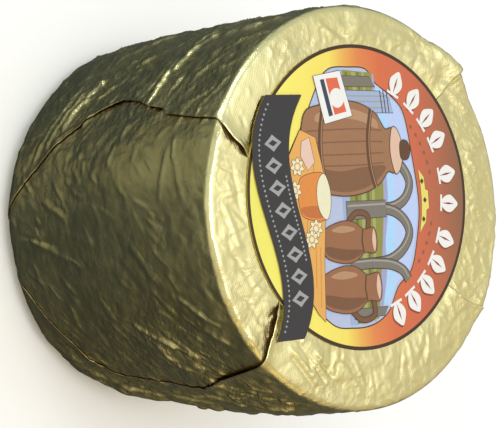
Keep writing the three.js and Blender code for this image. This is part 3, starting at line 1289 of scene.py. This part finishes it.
@dataclass
class FlatPrint:
    """Flat ink shapes in one mesh, stacked in thin layers over the label's paper.

    Places are millimetres from the label's centre, +y towards its back.
    """

    shape: LabelShape
    height: float
    layer: float = 0.009 * MM
    film: float = 0.6  # how thick the ink is, as a share of its layer
    base: int = 0  # the layer that levels are counted from
    inks: list[Ink] = field(default_factory=list)

    def __post_init__(self) -> None:
        """Starts an empty print."""
        self.draft = bmesh.new()

    def slot(self, ink: Ink) -> int:
        """The ink's material slot, added if it is new."""
        if ink not in self.inks:
            self.inks.append(ink)
        return self.inks.index(ink)

    def corners(self, outline: list[Point], level: int) -> list[bmesh.types.BMVert]:
        """Puts the corners of an outline on a layer, counted up from the paper."""
        height = self.height + (self.base + level) * self.layer
        centre = self.shape.centre
        return [self.draft.verts.new((centre.x + x * MM, centre.y + y * MM, height)) for x, y in outline]

    def fill(self, outline: list[Point], ink: Ink, level: int) -> None:
        """Fills a closed outline.

        Args:
            outline: Its corners in order.
            ink: The ink.
            level: Its layer, counted up from the paper.
        """
        corners = self.corners(outline, level)
        edges = [self.draft.edges.new((a, b)) for a, b in zip(corners, corners[1:] + corners[:1])]
        made = bmesh.ops.triangle_fill(self.draft, use_beauty=True, edges=edges, normal=(0, 0, 1))
        faces = [item for item in made["geom"] if isinstance(item, bmesh.types.BMFace)]
        for face in faces:
            face.material_index = self.slot(ink)
        turned_down = [face for face in faces if face.calc_area() > 0 and face.normal.z < 0]
        if turned_down:
            bmesh.ops.reverse_faces(self.draft, faces=turned_down)

    def outlined(self, outline: list[Point], ink: Ink, level: int, line: float = 0.3) -> None:
        """Fills an outline over a slightly larger dark one."""
        self.stroke(outline, Ink.LINE, level, line, closed=True)
        self.fill(outline, ink, level + 1)

    def stroke(self, path: list[Point], ink: Ink, level: int, width: float, closed: bool = False) -> None:
        """Draws a line of an even width.

        Args:
            path: The places that it goes through.
            ink: The ink.
            level: Its layer, counted up from the paper.
            width: Its width in millimetres.
            closed: Whether it comes back to its start.
        """
        spots = np.array(path, dtype=float)
        ahead = np.roll(spots, -1, axis=0) - np.roll(spots, 1, axis=0)
        if not closed:
            ahead[0], ahead[-1] = spots[1] - spots[0], spots[-1] - spots[-2]
        ahead /= np.maximum(np.linalg.norm(ahead, axis=1, keepdims=True), 1e-9)
        side = np.stack([-ahead[:, 1], ahead[:, 0]], axis=1) * width / 2
        edges = []
        for row in (self.corners(spots + side, level), self.corners(spots - side, level)):
            pairs = zip(row, row[1:] + row[:1]) if closed else zip(row, row[1:])
            edges += [self.draft.edges.new(pair) for pair in pairs]
        made = bmesh.ops.bridge_loops(self.draft, edges=edges)
        for face in made["faces"]:
            face.material_index = self.slot(ink)
            if face.normal.z < 0:
                face.normal_flip()

    def build(self) -> bpy.types.Object:
        """Makes the print's piece.

        Returns:
            The finished piece.
        """
        materials = [PrintFinish(ink).material() for ink in self.inks]
        piece = finished_piece(self.draft, "label_print", materials, smooth=False)
        thicken(piece, "ink_film", self.layer * self.film)
        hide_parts("label")
        return piece


@dataclass
class Label:
    """The printed paper label: a still life before an arcade, under a row of leaves and over a ribbon."""

    shape: LabelShape
    foil_top: float
    paper_thickness: float = 0.14 * MM
    seat: float = 0.17 * MM  # from the plain top's level up to the paper's underside
    background_levels: int = 9  # layers that the window's background takes, below all that stands before it

    def build(self) -> list[bpy.types.Object]:
        """Makes the paper and what is printed on it.

        Returns:
            Both finished pieces.
        """
        art = FlatPrint(self.shape, self.paper_top)
        self.rim_line(art)
        self.leaves(art)
        self.plaque(art)
        self.window(art)
        art.base = self.background_levels
        self.vessels(art)
        self.table(art)
        self.card(art)
        self.ribbon(art)
        return [self.paper(), art.build()]

    @property
    def paper_top(self) -> float:
        """The level of the paper's printed side."""
        return self.foil_top + self.seat + self.paper_thickness

    def paper(self) -> bpy.types.Object:
        """Makes the die-cut sheet.

        Returns:
            The finished piece.
        """
        draft = bmesh.new()
        centre, top = self.shape.centre, self.paper_top
        corners = [
            draft.verts.new((centre.x + reach * math.cos(angle), centre.y + reach * math.sin(angle), top))
            for angle, reach in zip(self.shape.angles, self.shape.reaches)
        ]
        bmesh.ops.contextual_create(draft, geom=corners)
        finish = PaperFinish(centre.y, self.shape.radius)
        piece = finished_piece(draft, "label_paper", [finish.material()], smooth=False)
        thicken(piece, "paper", self.paper_thickness)
        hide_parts("label")
        return piece

    def rim_line(self, art: FlatPrint) -> None:
        """The dark line round the disc.

        Args:
            art: The print that it is drawn in.
        """
        inset, width = 0.46, 0.94
        art.stroke(ring(self.shape.radius / MM - inset, 240), Ink.RING, 1, width, closed=True)

    def leaves(self, art: FlatPrint) -> None:
        """The arc of white leaves, in groups of four, two and five, and a faint row of lozenges under it.

        Args:
            art: The print that it is drawn in.
        """
        leaf = curve_through([
            (0, -3.0), (1.7, -1.6), (2.35, 0.5), (1.4, 2.3), (0, 3.6), (-1.4, 2.3), (-2.35, 0.5),
            (-1.7, -1.6),
        ])
        rib = [(0, -2.6), (0.28, 0), (0, 2.2), (-0.28, 0)]
        foot = [(-2.2, -3.2), (2.2, -3.2), (2.2, -2.5), (-2.2, -2.5)]
        leaf_arc, lozenge_arc = 32.4, 26.3
        for angle in (152.5, 139.5, 127.5, 115.5, 98.5, 84.5, 67.5, 54.5, 42.5, 31.0, 19.5):
            place = polar(leaf_arc, angle)
            art.fill(turned(leaf, (place[0] + 0.35, place[1] - 0.35), angle - 90, 1.04), Ink.SHADE, 1)
            art.fill(turned(leaf, place, angle - 90), Ink.WHITE, 2)
            art.fill(turned(foot, place, angle - 90), Ink.WHITE, 3)
            art.fill(turned(rib, place, angle - 90), Ink.SHADE, 4)
        plaque_angle, plaque_half = 88, 14
        for angle in range(48, 133, 6):
            if abs(angle - plaque_angle) < plaque_half:
                continue
            art.fill(turned(lozenge(0.8, 0.55), polar(lozenge_arc, angle), angle - 90), Ink.FAINT, 1)

    def plaque(self, art: FlatPrint) -> None:
        """The small yellow plaque over the window, with three dark lozenges.

        Args:
            art: The print that it is drawn in.
        """
        outline = [
            (-6.3, 21.4), (-4.3, 23.3), (-1.0, 23.6), (-0.6, 24.6), (4.0, 24.6), (4.4, 23.6), (7.4, 23.2),
            (10.2, 20.6), (6, 21.6), (1.8, 22.0), (-2.4, 21.9),
        ]
        art.outlined(outline, Ink.PLAQUE, 1)
        for place in ((-3.2, 22.5), (1.8, 23.2), (6.8, 22.3)):
            art.fill(turned(lozenge(0.8, 0.7), place, 0), Ink.PLAQUE_MARK, 3)

    def window(self, art: FlatPrint) -> None:
        """The scalloped window: sky, hills, fields, jambs and a plain two-arch arcade.

        Args:
            art: The print that it is drawn in.
        """
        frame_line = curve_through([
            (-32.6, -9), (-33.1, -2), (-32.6, 4.0), (-28.9, 7.4), (-25.6, 12.8), (-21.2, 16.9),
            (-11, 19.0), (2.4, 20.6), (12, 19.0), (19.6, 16.2), (23.6, 11.0), (29.8, 6.8), (32.6, 1.0),
            (32.9, -6), (31.2, -13.5), (22, -22), (8, -27.0), (-7.8, -26.0), (-19.6, -18.6),
            (-28.5, -13.2),
        ])
        art.outlined(frame_line, Ink.WALL, 1, 0.7)
        sky = curve_through([
            (-28.0, 5.8), (-25.2, 12.4), (-20.8, 16.4), (-11, 18.5), (2.4, 20.1), (11.6, 18.4),
            (19.0, 15.7), (23.0, 10.6), (28.2, 6.6), (10, 5.5), (-10, 5.5),
        ])
        art.fill(sky, Ink.SKY, 3)
        art.fill([
            (-27.6, 5.5), (-27.2, 10), (-10, 11.8), (6, 11.4), (24.6, 9.6), (28.6, 5.5),
        ], Ink.LOW_SKY, 4)
        hills = curve_through([
            (-31.5, 6.9), (-24, 7.4), (-14, 8.4), (-3.6, 9.4), (5.5, 8.8), (12, 7.4), (20, 7.2),
            (30.6, 4.4),
        ], False)
        art.fill(hills + [(31.8, -2), (-32.2, -2)], Ink.HILL, 5)
        fields = curve_through([
            (-31.8, 6.2), (-22, 6.4), (-10, 7.2), (-3.6, 7.9), (5.5, 7.2), (17, 5.6), (31.4, 3.2),
        ], False)
        art.fill(fields + [(32.2, -4.8), (-32.6, -4.8)], Ink.FIELD, 6)
        bands = (
            (-1.2, 0.2, Ink.MEADOW), (2.6, 3.4, Ink.MEADOW), (-3.4, -2.7, Ink.HEDGE), (0.9, 1.5, Ink.HEDGE),
        )
        for low, high, ink in bands:
            band = curve_through([(-32, low), (-12, low + 1.2), (6, low + 0.6), (32, low - 1.0)], False)
            top = curve_through([(32, high - 1.2), (6, high + 0.9), (-12, high + 1.0), (-32, high)], False)
            art.fill(band + top, ink, 7)
        art.fill([(-32.6, -4.4), (32.4, -4.6), (32.2, -7), (-32.4, -7)], Ink.PALE_STONE, 7)
        jambs = (
            [(-31.0, -5), (-28.4, -5), (-28.2, 7.2), (-30.8, 5.2)],
            [(28.4, -5.5), (30.9, -5.5), (30.7, 5.4), (28.6, 6.8)],
        )
        for jamb in jambs:
            art.outlined(jamb, Ink.STONE, 8)
        art.outlined([
            (-27.4, -8), (-21.8, -8), (-21.4, 13.4), (-25.2, 12.0), (-27.0, 8.4),
        ], Ink.PALE_STONE, 8)
        for x in (-26.0, -24.6, -23.0):
            art.stroke([(x, -7.6), (x + 0.3, 10.5)], Ink.STONE_EDGE, 10, 0.35)
        for y in (8.8, 10.0, 11.2):
            art.stroke([(-27.2, y), (-21.4, y + 0.6)], Ink.LINE, 10, 0.3)
        arches = (
            curve_through([
                (-9.5, 11.5), (-7.2, 15.2), (-3.2, 17.6), (0.6, 16.0), (2.8, 12.0), (3.3, 6), (3.3, -6),
            ], False),
            curve_through([
                (3.3, -6), (3.3, 6), (4.4, 11.6), (7.0, 15.2), (10.4, 16.4), (14.2, 13.6), (16.6, 8.6),
                (17.1, 2), (17.1, -6),
            ], False),
            curve_through([(17.1, 2), (17.8, 8.6), (19.6, 13.0), (22.2, 15.0)], False),
        )
        for index, arch in enumerate(arches):
            level = 9 + 3 * index
            art.stroke(arch, Ink.LINE, level, 2.9)
            art.stroke(arch, Ink.STONE, level + 1, 2.4)
            art.stroke([(x - 0.7, y) for x, y in arch], Ink.STONE_EDGE, level + 2, 0.4)
        art.outlined([(1.0, -6), (5.6, -6), (5.4, 8.2), (1.2, 8.2)], Ink.STONE, 18)
        art.stroke([(2.1, -5.6), (2.1, 8.0)], Ink.STONE_EDGE, 20, 0.5)

    def vessels(self, art: FlatPrint) -> None:
        """A tall wooden churn at the left, and two clay jugs at the right.

        Args:
            art: The print that it is drawn in.
        """
        churn = curve_through([
            (-21.4, -18.6), (-23.6, -13), (-24.6, -6), (-23.8, 1), (-21.2, 6.4), (-17.2, 9.6),
            (-16.6, 12.4), (-6.6, 12.6), (-6.2, 9.8), (-3.2, 6.4), (-1.2, 1), (-0.6, -6), (-1.6, -13),
            (-3.6, -18.6), (-12, -20.4),
        ])
        art.outlined(churn, Ink.WOOD, 13, 0.6)
        shade = curve_through([
            (-7.6, 9.0), (-4.0, 5.6), (-2.0, 0), (-1.5, -7), (-3.0, -14.5), (-4.8, -18.2), (-8.4, -18.8),
            (-6.8, -8), (-7.6, 1),
        ])
        art.fill(shade, Ink.WOOD_DARK, 15)
        glow = curve_through([
            (-19.8, 6.2), (-22.2, 0), (-22.8, -7), (-21.6, -14), (-19.4, -14.4), (-20.2, -6), (-19.4, 1),
            (-17.4, 6.8),
        ])
        art.fill(glow, Ink.WOOD_LIGHT, 15)
        for x in (-17.4, -14.2, -11.0, -8.2):
            stave = curve_through([(x * 0.9 - 1.2, 8.6), (x, 1), (x, -8), (x * 0.95 - 0.6, -18.4)], False)
            art.stroke(stave, Ink.WOOD_DARK, 16, 0.35)
        for y, half in ((4.2, 10.0), (-12.8, 11.1)):
            ends = [(-12.3 - half, y + 0.8), (-12.3 + half, y + 0.8)]
            hoop = curve_through([ends[0], (-17, y - 0.6), (-12.3, y - 1.0), (-7, y - 0.6), ends[1]], False)
            art.stroke(hoop, Ink.HOOP, 17, 1.5)
            art.stroke([(x, y + 0.3) for x, y in hoop], Ink.WOOD_LIGHT, 18, 0.25)
        lid = curve_through([
            (-17.2, 12.2), (-17.0, 14.0), (-13.6, 15.4), (-9.4, 15.4), (-6.2, 14.0), (-6.0, 12.4),
            (-11.6, 11.2),
        ])
        art.outlined(lid, Ink.LID, 17, 0.5)
        art.outlined(curve_through([
            (-13.6, 15.0), (-13.9, 17.4), (-11.6, 18.5), (-9.3, 17.4), (-9.6, 15.0),
        ]), Ink.HOOP, 19, 0.4)
        self.jug(art, (11.2, -5.4), 1.0, -1)
        self.jug(art, (23.2, -5.8), 1.12, 1)

    def jug(self, art: FlatPrint, place: Point, size: float, handle_side: int) -> None:
        """Draws one clay jug.

        Args:
            art: The print that it is added to.
            place: The middle of its body.
            size: Its size, 1 for a body 10 mm wide.
            handle_side: -1 for a handle on the left, 1 for one on the right.
        """
        handle = curve_through([(3.0, 6.6), (6.4, 6.6), (7.2, 2.6), (4.8, -0.6)], False)
        handle = [(x * handle_side, y) for x, y in handle]
        art.stroke(turned(handle, place, 0, size), Ink.LINE, 13, 1.7)
        art.stroke(turned(handle, place, 0, size), Ink.CLAY_DARK, 14, 1.2)
        body = curve_through([
            (-3.4, -8.6), (-5.2, -3), (-4.9, 1.4), (-2.9, 5.0), (-3.1, 8.6), (0, 9.4), (3.1, 8.6),
            (2.9, 5.0), (4.9, 1.4), (5.2, -3), (3.4, -8.6), (0, -9.2),
        ])
        art.outlined(turned(body, place, 0, size), Ink.CLAY, 15, 0.45)
        shade = curve_through([(2.4, 4.6), (4.2, 1.2), (4.5, -3), (3.0, -8.0), (0.8, -8.4), (1.8, -2)])
        art.fill(turned(shade, place, 0, size), Ink.CLAY_DARK, 17)
        glow = curve_through([(-3.6, 1.2), (-4.2, -3), (-3.2, -6.4), (-2.4, -3), (-2.8, 1.4)])
        art.fill(turned(glow, place, 0, size), Ink.WOOD_LIGHT, 17)
        mouth = curve_through([(-2.9, 8.5), (0, 9.2), (2.9, 8.5), (0, 7.8)])
        art.fill(turned(mouth, place, 0, size), Ink.LID, 17)
        art.stroke(turned([(-2.9, 4.6), (0, 4.1), (2.9, 4.6)], place, 0, size), Ink.HOOP, 18, 0.5)

    def table(self, art: FlatPrint) -> None:
        """The orange table top, with a small cheese, a wedge and two rosettes of shavings on it.

        Args:
            art: The print that it is drawn in.
        """
        top = [
            (-15.5, -15.4), (-6, -13.2), (5.4, -13.8), (14.8, -14.9), (30.6, -15.9), (28.5, -18),
            (18, -25), (4, -28), (-8, -26.8), (-17.5, -20.5),
        ]
        art.outlined(top, Ink.TABLE, 19)
        grain = (
            [
                (-10, -16.4), (-1, -17.4),
            ], [(6, -17.2), (22, -18.2)], [(4, -19.8), (16, -21.0)], [(12, -16), (27, -17)],
        )
        for line in grain:
            art.stroke(line, Ink.TABLE_GRAIN, 21, 0.3)
        side = curve_through([
            (-6.4, -13.6), (-6.0, -20.4), (-3.4, -22.2), (1.6, -22.2), (4.4, -20.4), (5.0, -13.6),
            (-0.6, -14.6),
        ])
        art.outlined(side, Ink.CHEESE_SIDE, 22)
        art.fill(curve_through([
            (1.8, -15), (4.6, -14.6), (4.0, -20.2), (1.8, -21.6),
        ]), Ink.CHEESE_SHADE, 24)
        art.outlined(curve_through([
            (-6.4, -13.4), (-4.2, -12.0), (-0.6, -11.4), (3.4, -12.0), (5.1, -13.4), (3.0, -15.4),
            (-0.8, -16.1), (-4.6, -15.4),
        ]), Ink.CHEESE_TOP, 24)
        art.outlined([
            (-15.6, -17.6), (-9.4, -16.2), (-7.4, -18.6), (-11.0, -20.8), (-14.6, -20.2),
        ], Ink.WEDGE, 22)
        rosette = ring(1.9, 48, lobes=7, lobe=0.4)
        for index, (x, y) in enumerate(((7.2, -17.2), (9.8, -18.9), (-2.6, -23.6), (-8.4, -22.2))):
            level = 26 + 3 * (index % 2)
            art.outlined(turned(rosette, (x, y), 20), Ink.CHEESE_TOP, level, 0.25)
            art.stroke(turned(rosette, (x, y), 40, 0.5), Ink.TABLE_GRAIN, level + 2, 0.28, closed=True)

    def card(self, art: FlatPrint) -> None:
        """The tilted white card at the left, printed with a plain sun over two bars.

        Args:
            art: The print that it is drawn in.
        """
        art.outlined([(-32.3, -5.4), (-20.8, -2.0), (-18.9, -11.7), (-30.9, -14.7)], Ink.WHITE, 22, 0.35)
        art.fill([(-30.6, -6.4), (-21.9, -3.9), (-21.1, -8.1), (-30.3, -10.5)], Ink.CARD_RED, 24)
        art.fill(turned(ring(2.5, 24), (-25.4, -7.0), 0), Ink.WHITE, 25)
        art.fill([(-30.2, -11.1), (-21.0, -8.7), (-20.7, -10.1), (-30.0, -12.5)], Ink.CARD_DARK, 24)

    def ribbon(self, art: FlatPrint) -> None:
        """The dark ribbon, with a row of pale diamonds between two rows of dots.

        Args:
            art: The print that it is drawn in.
        """
        steps = np.linspace(-0.006, 1.006, 60)
        upper = self.shape.ribbon_place(steps, np.full(60, 1.0))
        lower = self.shape.ribbon_place(steps[::-1], np.full(60, -1.07))
        outline = [tuple(spot) for spot in np.vstack([upper, lower])]
        art.outlined(outline, Ink.RIBBON, 34, 0.3)
        diamond = [
            (0, -3.1), (1.3, -1.2), (2.3, 0), (1.3, 1.2), (0, 3.1), (-1.3, 1.2), (-2.3, 0), (-1.3, -1.2),
        ]
        marks = self.shape.ribbon_place(np.linspace(0.19, 0.84, 8), np.full(8, 0.08))
        for mark in marks:
            art.fill(turned(diamond, tuple(mark), 4, 0.92), Ink.RIBBON_MARK, 36)
            art.fill(turned(lozenge(0.8, 1.5), tuple(mark), 4), Ink.RIBBON, 37)
        small = self.shape.ribbon_place(np.linspace(0.03, 0.97, 46), np.full(46, -0.7))
        above = self.shape.ribbon_place(np.linspace(0.33, 0.68, 20), np.full(20, 0.72))
        for spot in np.vstack([small, above]):
            art.fill(turned(lozenge(0.36, 0.36), tuple(spot), 0), Ink.RIBBON_MARK, 36)


# ---- Stage ---------------------------------------------------------------------------------------


@dataclass(frozen=True)
class Glow:
    """A soft round patch of light in the sky."""

    direction: tuple[float, float, float]
    edge: float  # the cosine of the angle from its middle to its edge
    light: Colour


@dataclass
class Studio:
    """Pale floor, soft lights, a sky for the foil to mirror, and the camera."""

    rim: float
    top: float
    elevation: float = 45.0
    distance: float = 9.0  # from the middle of the top, in rim radii
    tilt_up: float = -3.58  # degrees that the camera looks above the top's middle
    pan_left: float = 0.03  # degrees that it looks left of the top's middle
    roll: float = 3.8  # degrees
    focal_length: float = 132.5952  # millimetres, on a sensor of this width
    sensor: float = 36.0
    floor_drop: float = 0.2 * MM  # keeps the floor clear of the foil
    floor_colour: Colour = (0.95, 0.945, 0.93)
    sky_stops: Stops = (  # from straight below to straight above
        (0.0, (0.032, 0.038, 0.045)),
        (0.085, (0.052, 0.060, 0.067)),
        (0.12, (0.074, 0.082, 0.079)),
        (0.25, (0.155, 0.158, 0.14)),
        (0.38, (0.38, 0.375, 0.33)),
        (0.5, (0.70, 0.695, 0.65)),
        (0.84, (0.76, 0.755, 0.72)),
        (0.93, (1.1, 1.12, 1.15)),
        (1.0, (1.5, 1.5, 1.6)),
    )
    tint_stops: Stops = (  # from left to right
        (0.0, (0.85, 0.98, 1.12)),
        (0.5, (1, 1, 1)),
        (1.0, (0.78, 0.68, 0.54)),
    )
    glows: tuple[Glow, ...] = (
        Glow((-0.40, -0.59, -0.70), 0.95, (0.165, 0.148, 0.092)),
        Glow((0.90, -0.15, 0.25), 0.92, (0.75, 0.58, 0.24)),
    )

    def build(self) -> None:
        """Makes everything around the wheel."""
        self.floor()
        self.sky()
        self.lamps()
        self.camera()

    def floor(self) -> None:
        """A plain pale floor that the foil doesn't mirror."""
        draft = bmesh.new()
        bmesh.ops.create_grid(draft, x_segments=1, y_segments=1, size=3.0)
        mesh = bpy.data.meshes.new("floor")
        draft.to_mesh(mesh)
        draft.free()
        material, wiring, shader = new_material("floor_paint")
        wiring.feed(shader, {"Base Color": opaque(self.floor_colour), "Roughness": 0.9})
        mesh.materials.append(material)
        floor = bpy.data.objects.new("floor", mesh)
        floor.location.z = -self.floor_drop
        floor.visible_glossy = False
        bpy.context.scene.collection.objects.link(floor)

    def sky(self) -> None:
        """A soft sky: bright above and dark below, cool at the left, warm at the right, and two glows."""
        world = bpy.data.worlds.new("studio_sky")
        bpy.context.scene.world = world
        world.use_nodes = True
        wiring = Wiring(world.node_tree)
        heading = wiring.add("TexCoord", {}, "Generated")
        across, _, height = wiring.parts(heading)
        graded = wiring.ramp(wiring.spread(height, (-1, 1)), self.sky_stops)
        tint = wiring.ramp(wiring.spread(across, (-1, 1)), self.tint_stops)
        light = wiring.mix(1, graded, tint, "MULTIPLY")
        for glow in self.glows:
            feeds = {0: heading, 1: Vector(glow.direction).normalized()}
            towards = wiring.add("VectorMath", feeds, "Value", operation="DOT_PRODUCT")
            share = wiring.spread(towards, (glow.edge, 1.0), curve="SMOOTHSTEP")
            light = wiring.mix(share, light, glow.light, "ADD")
        wiring.feed(world.node_tree.nodes["Background"], {"Color": light})

    def lamps(self) -> None:
        """Soft boxes: a broad one above and a little in front, and a smaller one at the front left."""
        self.softbox("top_softbox", Vector((-0.1, -0.25, 0.95)), 0.5, 2.4)
        self.softbox("left_softbox", Vector((-0.75, -0.35, 0.25)), 0.25, 0.9)

    def softbox(self, name: str, place: Vector, size: float, power: float) -> None:
        """Adds one square area lamp that faces the wheel.

        Args:
            name: The lamp's name.
            place: Where it stands, in metres.
            size: The length of its side, in metres.
            power: Its power in watts.
        """
        lamp = bpy.data.lights.new(name, "AREA")
        lamp.size = size
        lamp.energy = power
        holder = bpy.data.objects.new(name, lamp)
        holder.location = place
        aim = Vector((0, 0, self.top / 2)) - place
        holder.rotation_euler = aim.to_track_quat("-Z", "Y").to_euler()
        bpy.context.scene.collection.objects.link(holder)

    def camera(self) -> None:
        """Looks down at the wheel from the front, lying on its side so that up points right."""
        lens = bpy.data.cameras.new("camera")
        lens.sensor_width = self.sensor
        lens.lens = self.focal_length
        holder = bpy.data.objects.new("camera", lens)
        rise = math.radians(self.elevation)
        away = self.distance * self.rim
        place = Vector((0, -away * math.cos(rise), away * math.sin(rise)))
        ahead = -place.normalized()
        right = Vector((1, 0, 0))
        level = Matrix.Rotation(math.radians(self.tilt_up), 3, right)
        ahead = level @ ahead
        up = right.cross(ahead)
        aside = Matrix.Rotation(math.radians(self.pan_left), 3, up)
        right, ahead = aside @ right, aside @ ahead
        spin = Matrix.Rotation(math.radians(self.roll), 3, ahead)
        right, up = spin @ right, spin @ up
        axes = Matrix((up, -right, -ahead)).transposed().to_4x4()
        holder.matrix_world = Matrix.Translation(place + Vector((0, 0, self.top))) @ axes
        bpy.context.scene.collection.objects.link(holder)
        bpy.context.scene.camera = holder
        bpy.context.scene.view_settings.view_transform = "Standard"


# ---- Main ----------------------------------------------------------------------------------------


def main() -> None:
    """Builds the wheel's pieces and the stage in order."""
    logging.basicConfig(level=logging.INFO, format="%(message)s")
    outline = WheelOutline()
    shape = LabelShape()
    relief = FoilRelief(outline)
    foil = FoilFinish().material()
    lining = PaintedShadeLining().material()
    panels = [
        FoilPanel("foil_front_panel", FRONT_LEFT, FRONT_RIGHT, Layer.UNDER, outline, relief, shape),
        FoilPanel("foil_right_fold", FRONT_RIGHT, BACK_RIGHT, Layer.OVER, outline, relief, shape),
        FoilPanel("foil_back_panel", BACK_RIGHT, BACK_LEFT, Layer.UNDER, outline, relief, shape, -360.0),
        FoilPanel("foil_left_fold", BACK_LEFT, FRONT_LEFT, Layer.OVER, outline, relief, shape),
    ]
    for panel in panels:
        piece = panel.build(foil, lining)
        log.info("%s: %d vertices", piece.name, len(piece.data.vertices))
    for piece in Label(shape, outline.top).build():
        log.info("%s: %d vertices", piece.name, len(piece.data.vertices))
    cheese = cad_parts["cheese"]
    cheese.material_slots[0].material = RindFinish().material()
    log.info("cheese: CAD node with its rind finish")
    Studio(rim=outline.rim, top=outline.top).build()


if __name__ == "__main__":
    main()
